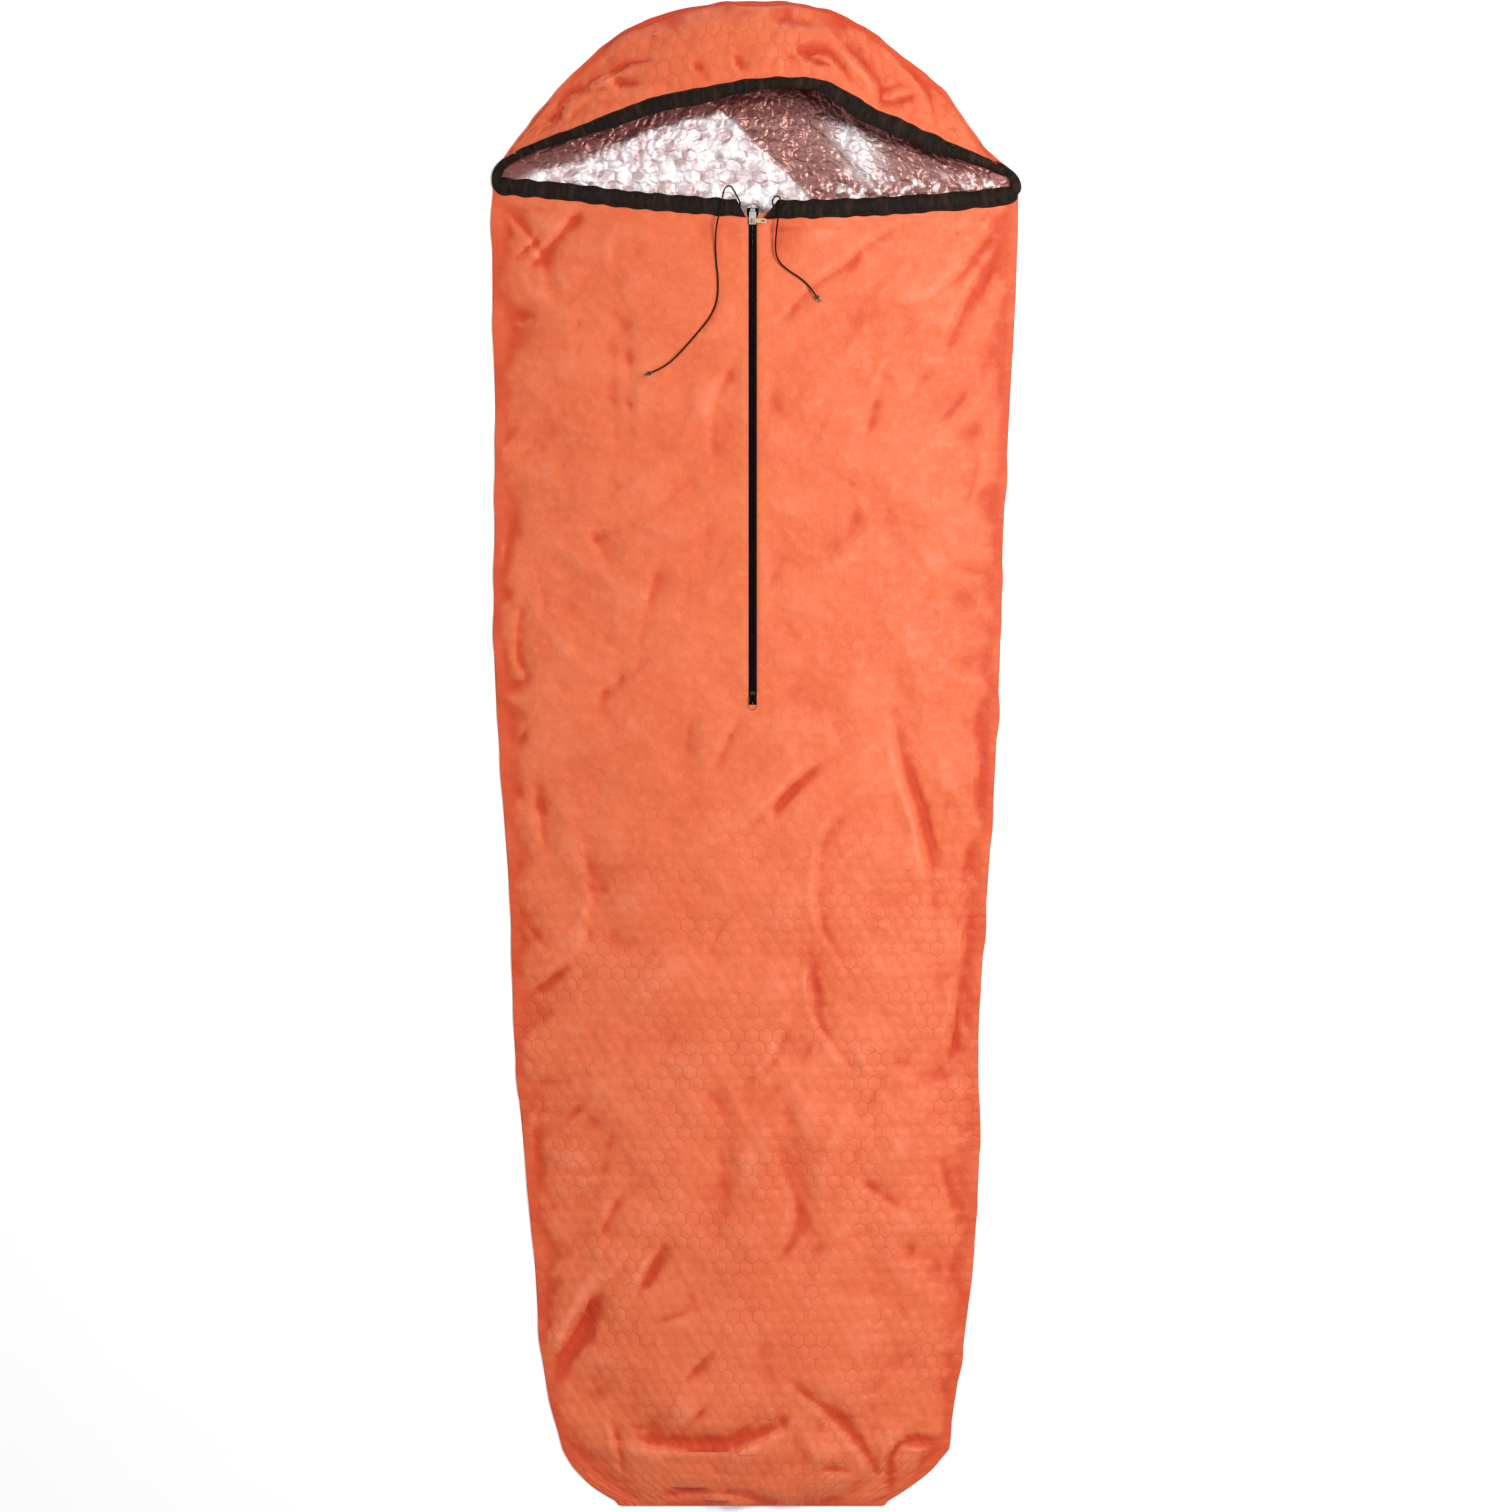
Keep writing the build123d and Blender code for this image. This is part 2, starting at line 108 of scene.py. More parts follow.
def weighed(tree, *terms):
    """Sum of some values, each times its weight."""
    total = 0.0
    for value, weight in terms:
        total = calc(tree, "MULTIPLY_ADD", value, weight, total)
    return total


def vector(tree, operation, *values):
    """Arithmetic on vectors."""
    made = node(tree, "VectorMath", dict(enumerate(values)), operation=operation)
    return made.outputs["Value" if operation == "DOT_PRODUCT" else "Vector"]


def noise_of(tree, place, scale, detail=3.0, rough=0.5):
    """Cloudy noise, from 0 to 1 and mostly near a half."""
    given = {"Vector": place, "Scale": scale, "Detail": detail, "Roughness": rough}
    return node(tree, "TexNoise", given).outputs["Fac"]


def ramp(tree, value, low, high, start=0.0, end=1.0):
    """value from low to high becomes start to end, and stays there outside."""
    given = {"Value": value, "From Min": low, "From Max": high, "To Min": start, "To Max": end}
    return node(tree, "MapRange", given, interpolation_type="SMOOTHSTEP").outputs["Result"]


def mixed(tree, factor, first, second):
    """Colour that is first where factor is 0 and second where it is 1."""
    given = {0: factor}
    for socket, colour in ((6, first), (7, second)):
        given[socket] = (*colour, 1) if isinstance(colour, tuple) else colour
    return node(tree, "Mix", given, data_type="RGBA").outputs[2]


# Added to a place in hexagons before the remainder is taken, so that it is never below 0.
FAR_CELLS = 200.0


def hexagons(tree, place, across):
    """0 in the middle of each cell of a tiling of upright hexagons, 1 on its outline."""
    tall = math.sqrt(3)
    cell, half = (1.0, tall, 1.0), (0.5, tall / 2, 0)
    scaled = vector(tree, "DIVIDE", place, (across,) * 3)
    moved = vector(tree, "ADD", scaled, (FAR_CELLS, FAR_CELLS * tall, 0))
    plan = vector(tree, "MULTIPLY", moved, (1, 1, 0))
    first, second = (
        vector(tree, "SUBTRACT", vector(tree, "MODULO", start, cell), half)
        for start in (plan, vector(tree, "ADD", plan, half))
    )
    nearer = calc(tree, "LESS_THAN", *(vector(tree, "DOT_PRODUCT", v, v) for v in (first, second)))
    chosen = node(tree, "Mix", {0: nearer, 4: second, 5: first}, data_type="VECTOR").outputs[1]
    size = vector(tree, "ABSOLUTE", chosen)
    slant, flat = (vector(tree, "DOT_PRODUCT", size, way) for way in (half, (1, 0, 0)))
    return calc(tree, "MULTIPLY", calc(tree, "MAXIMUM", slant, flat), 2.0)


def ridges_of(tree, place, scale):
    """Height of thin ridges that meet and branch, as in crushed paper."""
    given = {"Vector": place, "Scale": scale, "Detail": 4.0, "Roughness": 0.5}
    return node(tree, "TexNoise", given, noise_type="RIDGED_MULTIFRACTAL").outputs["Fac"]


def crumple(tree, place, scale):
    """Height of crushed paper: flat facets that meet in creases."""
    given = {"Vector": place, "Scale": scale * 0.6, "Detail": 2.0}
    warp = node(tree, "TexNoise", given).outputs["Color"]
    moved = vector(tree, "ADD", place, vector(tree, "MULTIPLY", warp, (0.6 / scale,) * 3))
    return node(tree, "TexVoronoi", {"Vector": moved, "Scale": scale}).outputs["Distance"]


def new_material(name, **shader_values):
    """Material, its node tree and its shader with some sockets set."""
    made = bpy.data.materials.new(name)
    made.use_nodes = True
    tree = made.node_tree
    shader = tree.nodes["Principled BSDF"]
    for key, value in shader_values.items():
        shader.inputs[key.replace("_", " ")].default_value = value
    return made, tree, shader


def surface(tree, shader, colour, rough, height, depth, strength=1.0):
    """Links a shader's colour and roughness, and its bumps: height 1 stands depth metres up."""
    tree.links.new(colour, shader.inputs["Base Color"])
    tree.links.new(rough, shader.inputs["Roughness"])
    given = {"Height": height, "Distance": depth, "Strength": strength}
    tree.links.new(node(tree, "Bump", given).outputs["Normal"], shader.inputs["Normal"])


def cut_place(tree):
    """Place on the flat cut cloth, in metres."""
    return node(tree, "UVMap", uv_map="cut").outputs["UV"]


def named_value(tree, name):
    """Value kept at the mesh's points under a name."""
    return node(tree, "Attribute", attribute_name=name).outputs["Fac"]


# ---------------------------------------------------------------- materials
# Width in metres of the hexagons pressed into shell and film.
HEXAGON = 0.020


def orange_fabric():
    """Non-woven orange shell: hexagons pressed in from the film, which fade towards the mouth, fine
    crinkles, painted shade (a deeper orange) in the folds and a painted highlight on the ridges."""
    made, tree, shader = new_material("orange_nonwoven", Specular_IOR_Level=0.22, Sheen_Weight=0.04)
    cut = cut_place(tree)
    painted_shading = named_value(tree, "painted_shading")
    patches = noise_of(tree, cut, 7.0, 4.0, 0.62)
    crinkle = noise_of(tree, cut, 75.0, 5.0, 0.62)
    grain = noise_of(tree, cut, 900.0, 2.0)
    facets = crumple(tree, cut, 34.0)
    ridges = ridges_of(tree, vector(tree, "MULTIPLY", cut, (1.0, 0.7, 1.0)), 20.0)
    cells = hexagons(tree, cut, HEXAGON)
    along = node(tree, "SeparateXYZ", {"Vector": cut}).outputs["Y"]
    plain = ramp(tree, along, 0.75, 1.15, 1.0, 0.30)
    outline = calc(tree, "MULTIPLY", ramp(tree, cells, 0.86, 1.0), plain)
    pillow = calc(tree, "MULTIPLY", ramp(tree, cells, 0.15, 0.95), plain)
    wear_and_highlight = ramp(tree, noise_of(tree, cut, 11.0, 2.0), 0.40, 0.60, 0.10, 1.0)
    pressed = calc(tree, "MULTIPLY", outline, wear_and_highlight)
    colour = mixed(tree, ramp(tree, patches, 0.38, 0.64), (0.675, 0.124, 0.043), (0.715, 0.147, 0.056))
    # Random lighter crinkles, painted shade in the folds, a painted highlight on the ridges, and darker
    # pressed hexagon outlines.
    for amount, tone in (
        (ramp(tree, crinkle, 0.46, 0.72, 0, 0.38), (0.80, 0.200, 0.092)),
        (ramp(tree, painted_shading, 0.03, 1.0, 0, 0.95), (0.53, 0.043, 0.009)),
        (ramp(tree, painted_shading, -0.04, -0.8, 0, 0.60), (0.80, 0.220, 0.120)),
        (calc(tree, "MULTIPLY", pressed, 0.26), (0.52, 0.062, 0.022)),
    ):
        colour = mixed(tree, amount, colour, tone)
    height = weighed(
        tree, (crinkle, 1.5), (pressed, -0.40), (facets, 1.8), (ridges, 1.1), (pillow, -0.55), (grain, 0.12)
    )
    rough = ramp(tree, crinkle, 0.3, 0.7, 0.60, 0.42)
    surface(tree, shader, colour, rough, height, 0.0012, 0.95)
    return made


def reflective_film():
    """Aluminised lining, painted pinkish with a reflection of the orange shell around it: bright where
    the painted tint is 0, mauve brown where it is 1, with painted dark shade in folds and under the hood."""
    made, tree, shader = new_material("reflective_film", Metallic=0.40)
    cut = cut_place(tree)
    reflection_and_shade, painted_shading = named_value(tree, "reflection_and_shade"), named_value(tree, "painted_shading")
    crinkle = noise_of(tree, cut, 95.0, 6.0, 0.66)
    patches = noise_of(tree, cut, 34.0, 4.0, 0.6)
    rim = ramp(tree, hexagons(tree, cut, HEXAGON), 0.70, 1.0)
    # Painted reflections: a pinkish white, and a mauve brown from the orange shell.
    bright = mixed(tree, ramp(tree, patches, 0.42, 0.62), (0.82, 0.66, 0.67), (0.99, 0.95, 0.95))
    dull = mixed(tree, ramp(tree, crinkle, 0.40, 0.66), (0.28, 0.108, 0.088), (0.40, 0.190, 0.170))
    colour = mixed(tree, reflection_and_shade, bright, dull)
    # Painted dark red-brown shade in the folds and where the hood shades the film.
    colour = mixed(tree, ramp(tree, painted_shading, 0.12, 0.9, 0, 0.86), colour, (0.150, 0.030, 0.023))
    colour = mixed(tree, calc(tree, "MULTIPLY", rim, 0.16), colour, (0.42, 0.20, 0.22))
    height = weighed(tree, (crinkle, ramp(tree, reflection_and_shade, 0.3, 1.0, 2.0, 0.6)), (rim, -0.5))
    surface(tree, shader, colour, ramp(tree, crinkle, 0.35, 0.7, 0.22, 0.40), height, 0.0012)
    return made


def woven_black(name, base, thread, rough, depth, shine):
    """Black nylon in plain weave, thread metres between threads, with painted lighter streaks of highlight.
    """
    made, tree, shader = new_material(name, Specular_IOR_Level=shine)
    cut = cut_place(tree)
    waves = []
    for direction in ("X", "Y"):
        given = {"Vector": cut, "Scale": 0.5 / thread, "Distortion": 0.4}
        waves.append(node(tree, "TexWave", given, bands_direction=direction).outputs["Fac"])
    weave = calc(tree, "MAXIMUM", *waves)
    # Painted highlights: lighter brown streaks where this noise is high, as on the casing's ripples.
    wear_and_highlight = noise_of(tree, vector(tree, "MULTIPLY", cut, (1.0, 0.45, 1.0)), 75.0, 4.0)
    dark, middle, light = (tuple(c * share for c in base) for share in (0.5, 2.2, 4.0))
    colour = mixed(tree, ramp(tree, wear_and_highlight, 0.46, 0.72), dark, light)
    colour = mixed(tree, calc(tree, "MULTIPLY", weave, 0.5), colour, middle)
    surface(tree, shader, colour, ramp(tree, wear_and_highlight, 0.3, 0.7, rough - 0.06, rough + 0.08), weave, depth)
    return made


def braided_cord():
    """Dark brown cord: two sets of strands that wind round it in opposite ways."""
    made, tree, shader = new_material("braided_cord", Specular_IOR_Level=0.04)
    along = node(tree, "TexCoord").outputs["UV"]
    place = vector(tree, "MULTIPLY", along, (170.0, 3.0, 0.0))
    strands = []
    for slant in (1.0, -1.0):
        turned = vector(tree, "DOT_PRODUCT", place, (1.0, slant, 0.0))
        wave = calc(tree, "SINE", calc(tree, "MULTIPLY", turned, math.pi))
        strands.append(calc(tree, "ABSOLUTE", wave))
    braid = calc(tree, "MAXIMUM", *strands)
    colour = mixed(tree, braid, (0.006, 0.0025, 0.002), (0.022, 0.008, 0.005))
    surface(tree, shader, colour, ramp(tree, braid, 0, 1, 0.8, 0.6), braid, 0.0002)
    return made


def speckled(name, dark, light, scale, rough, depth=0.0001, **shader_values):
    """Plain surface with cloudy colour and a fine uneven finish."""
    made, tree, shader = new_material(name, **shader_values)
    place = node(tree, "TexCoord").outputs["Object"]
    clouds = noise_of(tree, place, scale, 5.0, 0.6)
    colour = mixed(tree, clouds, dark, light)
    uneven = ramp(tree, clouds, 0.3, 0.7, rough - 0.07, rough + 0.1)
    surface(tree, shader, colour, uneven, noise_of(tree, place, scale * 6, 3.0), depth)
    return made


orange = orange_fabric()
film = reflective_film()
casing_cloth = woven_black("casing_nylon", (0.0100, 0.0048, 0.0030), 0.0011, 0.36, 0.0003, shine=0.12)
tape_cloth = woven_black("zip_tape_weave", (0.0036, 0.0022, 0.0018), 0.0008, 0.55, 0.0002, shine=0.06)
cord_braid = braided_cord()
nylon = speckled(
    "coil_nylon", (0.0025, 0.002, 0.002), (0.006, 0.005, 0.005), 400, 0.42, Specular_IOR_Level=0.08
)
thread = speckled("orange_thread", (0.60, 0.11, 0.04), (0.85, 0.20, 0.09), 900, 0.6)
black_thread = speckled("black_thread", (0.012, 0.009, 0.008), (0.04, 0.03, 0.025), 900, 0.6)
fray = speckled("frayed_core", (0.02, 0.012, 0.010), (0.07, 0.04, 0.03), 900, 0.7)
chrome = speckled(
    "plated_metal", (0.70, 0.69, 0.68), (0.86, 0.85, 0.83), 260, 0.24, 0.00003, Metallic=1.0
)
blackened = speckled(
    "blackened_metal", (0.012, 0.011, 0.011), (0.035, 0.033, 0.032), 300, 0.42, 0.00003, Metallic=0.6
)
brushed = speckled(
    "tab_metal", (0.20, 0.15, 0.09), (0.31, 0.24, 0.15), 320, 0.46, 0.00005, Metallic=0.9
)
tape_film = speckled("seam_tape_film", (0.52, 0.49, 0.47), (0.68, 0.65, 0.62), 120, 0.35)


# ---------------------------------------------------------------- small tools
def mesh_object(name, points, faces, uv=None, values=None, material=None):
    """Mesh from arrays of points and faces, with flat-cut coordinates and named point values."""
    mesh = bpy.data.meshes.new(name)
    mesh.from_pydata(np.asarray(points, float).reshape(-1, 3).tolist(), [], faces)
    mesh.polygons.foreach_set("use_smooth", [True] * len(mesh.polygons))
    if uv is not None:
        layer = mesh.uv_layers.new(name="cut")
        corner = np.empty(len(mesh.loops), int)
        mesh.loops.foreach_get("vertex_index", corner)
        layer.data.foreach_set("uv", np.asarray(uv, float).reshape(-1, 2)[corner].ravel())
    for key, value in (values or {}).items():
        attribute = mesh.attributes.new(key, "FLOAT", "POINT")
        attribute.data.foreach_set("value", np.asarray(value, np.float32).ravel())
    mesh.materials.append(material)
    mesh.update()
    piece = bpy.data.objects.new(name, mesh)
    scene.collection.objects.link(piece)
    return piece


def grid_faces(rows, cols, keep=None, closed=False, flip=False):
    """Quads of a grid of points. closed joins the last column to the first."""
    i, j = np.meshgrid(np.arange(rows - 1), np.arange(cols if closed else cols - 1), indexing="ij")
    k = (j + 1) % cols
    quads = np.stack([i * cols + j, i * cols + k, (i + 1) * cols + k, (i + 1) * cols + j], -1)
    quads = quads[keep] if keep is not None else quads.reshape(-1, 4)
    return (quads[:, ::-1] if flip else quads).tolist()


def smooth_curve(knots, values, x):
    """Smooth curve through values at knots, sampled at x."""
    knots, values = np.asarray(knots, float), np.asarray(values, float)
    slope = np.gradient(values, knots)
    i = np.clip(np.searchsorted(knots, x) - 1, 0, len(knots) - 2)
    step = knots[i + 1] - knots[i]
    t = (x - knots[i]) / step
    rise = (1 - t) ** 2 * t * slope[i] + t**2 * (t - 1) * slope[i + 1]
    return (1 + 2 * t) * (1 - t) ** 2 * values[i] + t**2 * (3 - 2 * t) * values[i + 1] + step * rise


def line_through(points, count):
    """Points evenly spaced along a smooth line through a few."""
    points = np.asarray(points, float)
    run = np.r_[0, np.cumsum(np.linalg.norm(np.diff(points, axis=0), axis=1))]
    fine = np.linspace(0, run[-1], 800)
    dense = np.stack([smooth_curve(run, column, fine) for column in points.T], -1)
    run = np.r_[0, np.cumsum(np.linalg.norm(np.diff(dense, axis=0), axis=1))]
    even = np.linspace(0, run[-1], count)
    return np.stack([np.interp(even, run, column) for column in dense.T], -1)


def noise(shape, cell, length, seed, stretch=1.0):
    """Smooth random field on a grid of cells, with bumps about length apart."""
    white = np.random.default_rng(seed).standard_normal(shape)
    down = np.fft.fftfreq(shape[0], cell[0])[:, None] * stretch
    across = np.fft.rfftfreq(shape[1], cell[1])[None]
    wave = np.hypot(down, across) * length + 1e-9
    field = np.fft.irfft2(np.fft.rfft2(white) * np.exp(-(np.log(wave) ** 2) / 0.35), shape)
    return field / field.std()


def crease(x, y, points, width, depth):
    """Height of one crease along a line in plan: soft on its left side, sharp on its right."""
    line = line_through(points, 16) if len(points) > 2 else np.linspace(*points, 10)
    lo, hi = line.min(0) - 6 * width, line.max(0) + 6 * width
    window = (x > lo[0]) & (x < hi[0]) & (y > lo[1]) & (y < hi[1])
    px, py = x[window], y[window]
    best, side, place = np.full(px.shape, 1e9), np.zeros(px.shape), np.zeros(px.shape)
    for k, (a, b) in enumerate(zip(line[:-1], line[1:])):
        d = b - a
        t = np.clip(((px - a[0]) * d[0] + (py - a[1]) * d[1]) / (d @ d), 0, 1)
        gap_x, gap_y = px - a[0] - t * d[0], py - a[1] - t * d[1]
        gap = np.hypot(gap_x, gap_y)
        closer = gap < best
        best = np.where(closer, gap, best)
        side = np.where(closer, np.sign(d[0] * gap_y - d[1] * gap_x), side)
        place = np.where(closer, (k + t) / (len(line) - 1), place)
    s = best / (width * np.where(side > 0, 2.1, 0.65))
    fade = np.sin(np.pi * np.clip(place, 0.03, 0.97)) ** 0.5
    lip = 0.30 * np.exp(-(((best - 1.3 * width) / (0.7 * width)) ** 2)) * (side < 0)
    height = np.zeros(x.shape)
    height[window] = depth * fade * (np.exp(-(s**1.5)) - lip)
    return height


def tube(path, radius, sides=8):
    """Points and faces of a round tube along a path of points; radius may change along it."""
    path = np.asarray(path, float)
    radius = np.broadcast_to(radius, len(path))
    ahead = np.gradient(path, axis=0)
    ahead /= np.linalg.norm(ahead, axis=1)[:, None]
    up = np.array([0.0, 0.0, 1.0]) if abs(ahead[0][2]) < 0.9 else np.array([1.0, 0.0, 0.0])
    rings = []
    for place, way, r in zip(path, ahead, radius):
        across = np.cross(way, up)
        across /= np.linalg.norm(across)
        up = np.cross(across, way)
        angle = np.arange(sides) * math.tau / sides
        rings.append(place + r * (np.cos(angle)[:, None] * across + np.sin(angle)[:, None] * up))
    points = np.concatenate([path[:1], *rings, path[-1:]])
    faces = []
    for i in range(len(path) - 1):
        for j in range(sides):
            k = (j + 1) % sides
            a, b = 1 + i * sides, 1 + (i + 1) * sides
            faces.append((a + j, b + j, b + k, a + k))
    last, tip = 1 + (len(path) - 1) * sides, len(points) - 1
    for j in range(sides):
        k = (j + 1) % sides
        faces.append((0, 1 + j, 1 + k))
        faces.append((tip, last + k, last + j))
    return points, faces


def merged(parts):
    """One list of points and one of faces from several."""
    points, faces, start = [], [], 0
    for p, f in parts:
        points.append(np.asarray(p))
        faces += [tuple(i + start for i in face) for face in f]
        start += len(p)
    return np.concatenate(points), faces


def stitches(line, pitch, length, radius):
    """Short rounded stitches one after another along a dense line of points."""
    line = np.asarray(line, float)
    run = np.r_[0, np.cumsum(np.linalg.norm(np.diff(line, axis=0), axis=1))]
    parts = []
    for start in np.arange(pitch / 2, run[-1] - pitch, pitch):
        at = start + np.array([0, 0.15, 0.5, 0.85, 1]) * length
        path = np.stack([np.interp(at, run, column) for column in line.T], -1)
        path[:, 2] += radius * np.array([-0.6, 0.5, 0.9, 0.5, -0.6])
        parts.append(tube(path, radius * np.array([0.5, 0.9, 1, 0.9, 0.5]), 5))
    return merged(parts)


# ---------------------------------------------------------------- the sack's shape
# y, left edge, right edge, rise above the back sheet: the CAD dome's own sections
FOOT = [
    (-1.061, -0.190, 0.179, 0.008),
    (-1.041, -0.223, 0.211, 0.021),
    (-1.015, -0.250, 0.245, 0.033),
    (-0.985, -0.268, 0.268, 0.042),
]
BODY = [
    (-0.985, -0.268, 0.268, 0.042),
    (-0.925, -0.286, 0.277, 0.047),
    (-0.840, -0.300, 0.290, 0.051),
    (-0.720, -0.309, 0.304, 0.054),
    (-0.570, -0.323, 0.313, 0.057),
    (-0.400, -0.338, 0.312, 0.059),
    (-0.230, -0.343, 0.322, 0.060),
    (-0.050, -0.355, 0.334, 0.061),
    (0.130, -0.366, 0.342, 0.061),
    (0.310, -0.366, 0.347, 0.061),
    (0.490, -0.365, 0.356, 0.061),
    (0.660, -0.369, 0.365, 0.061),
    (0.806, -0.368, 0.369, 0.061),
]
HOOD = [
    (0.806, -0.368, 0.369, 0.061),
    (0.824, -0.363, 0.359, 0.066),
    (0.845, -0.351, 0.334, 0.072),
    (0.890, -0.318, 0.298, 0.077),
    (0.940, -0.276, 0.262, 0.076),
    (0.990, -0.224, 0.200, 0.063),
    (1.030, -0.166, 0.146, 0.040),
    (1.053, -0.096, 0.092, 0.019),
    (1.061, -0.048, 0.052, 0.009),
]
# the shell's thickness, where the hood starts, and the height of the dome's top beside the zip
SHELL, FOLD_Y, CREST = 0.0012, 0.806, 0.0622
FOOT_Y, CROWN_Y = -0.985, 1.061
ZIP_X, SLOT = -0.004, 0.0060
# x and y along the middle of the front's edge and of the hood's edge, from the left corner of the
# mouth to the right one
LIP = [
    (-0.372, 0.8055), (-0.332, 0.8010), (-0.248, 0.7910), (-0.191, 0.7825), (-0.135, 0.7765),
    (-0.078, 0.7715), (0.0, 0.7665), (0.136, 0.7690), (0.237, 0.7765), (0.338, 0.7875), (0.374, 0.7940),
]
HOOD_EDGE = [
    (-0.369, 0.8170), (-0.344, 0.8440), (-0.304, 0.8610), (-0.248, 0.8775), (-0.191, 0.8960),
    (-0.135, 0.9135), (-0.078, 0.9235), (-0.006, 0.9385), (0.050, 0.9425), (0.091, 0.9390),
    (0.124, 0.9215), (0.156, 0.9010), (0.204, 0.8820), (0.261, 0.8580), (0.300, 0.8465),
    (0.340, 0.8320), (0.372, 0.8130),
]


def section(y):
    """Left edge, right edge and rise of the dome at y."""
    y = np.asarray(y, float)
    found = []
    for column in (1, 2, 3):
        parts = [[(row[0], row[column]) for row in rows] for rows in (FOOT, BODY, HOOD)]
        foot, body, hood = (smooth_curve(*zip(*part), y) for part in parts)
        found.append(np.where(y < FOOT_Y, foot, np.where(y < FOLD_Y, body, hood)))
    return found


def skin(x, y):
    """Height of the dome over a place in plan."""
    left, right, rise = section(np.clip(y, -CROWN_Y, CROWN_Y))
    half = (right - left) / 2
    radius = (half**2 + rise**2) / (2 * rise)
    across = np.clip(np.abs(x - (left + right) / 2), 0, half)
    return SHELL + rise - radius + np.sqrt(radius**2 - across**2)


def lip_y(x):
    """The lip's line, an uneven arc from corner to corner."""
    return smooth_curve(*np.array(LIP).T, x)


# How much of its speed a point keeps each round, and how far threads pull back to their length.
DAMPING, PULL = 0.86, 1.9


def settle(points, fixed, rounds, spare, hold, soften, floor, roof):
    """Lets a sheet of cloth buckle: its threads are longer than the shape it starts in by spare,
    it keeps near that shape with hold, and soften is its stiffness in bending. It stays between
    floor and roof, and points don't move where fixed is 1."""
    p = points.copy()
    free = 1.0 - fixed
    pairs = []
    for a, b in (
        ((slice(None), slice(0, -1)), (slice(None), slice(1, None))),
        ((slice(0, -1), slice(None)), (slice(1, None), slice(None))),
        ((slice(0, -1), slice(0, -1)), (slice(1, None), slice(1, None))),
        ((slice(0, -1), slice(1, None)), (slice(1, None), slice(0, -1))),
    ):
        length = np.linalg.norm(points[b] - points[a], axis=2)
        pairs.append((a, b, length * (1 + (spare[a] + spare[b]) / 2)))
    count = np.zeros(fixed.shape)
    for a, b, _ in pairs:
        count[a] += 1
        count[b] += 1
    moved = np.zeros_like(p)
    for _ in range(rounds):
        moved *= DAMPING
        p += moved * free[..., None]
        start = p.copy()
        for _ in range(2):
            push = np.zeros_like(p)
            for a, b, length in pairs:
                d = p[b] - p[a]
                now = np.linalg.norm(d, axis=2)
                d *= (0.5 * (1 - length / np.maximum(now, 1e-9)))[..., None]
                push[a] += d
                push[b] -= d
            p += push * (PULL / count * free)[..., None]
        z = p[..., 2]
        mean = z.copy()
        mean[1:-1, 1:-1] = (z[:-2, 1:-1] + z[2:, 1:-1] + z[1:-1, :-2] + z[1:-1, 2:]) / 4
        lift = soften * (mean - z) + hold * (points[..., 2] - z)
        p[..., 2] = np.minimum(np.maximum(z + lift * free, floor), roof)
        moved += p - start
    return p


# Height below its surroundings, in metres, at which a point is shaded nearly in full.
FULL_SHADE = 0.00060 * 3.7


def bend_of(points):
    """How far each point sits below (positive) or above the points around it, near and far: where
    folds shade."""
    z = points[..., 2]
    out = np.zeros(z.shape)
    for reach in (1, 3, 7, 14):
        pad = np.pad(z, reach, mode="edge")
        around = (
            pad[: -2 * reach, reach:-reach]
            + pad[2 * reach :, reach:-reach]
            + pad[reach:-reach, : -2 * reach]
            + pad[reach:-reach, 2 * reach :]
        ) / 4
        out += (around - z) / reach
    return np.tanh(out / FULL_SHADE)


def cut_lengths(points):
    """Flat-cut coordinates of a grid of points, from mean lengths along its rows and columns."""
    across = np.linalg.norm(np.diff(points, axis=1), axis=2).mean(0)
    down = np.linalg.norm(np.diff(points, axis=0), axis=2).mean(1)
    u, v = np.r_[0, np.cumsum(across)], np.r_[0, np.cumsum(down)]
    return np.stack(np.broadcast_arrays(u[None, :], v[:, None]), -1)
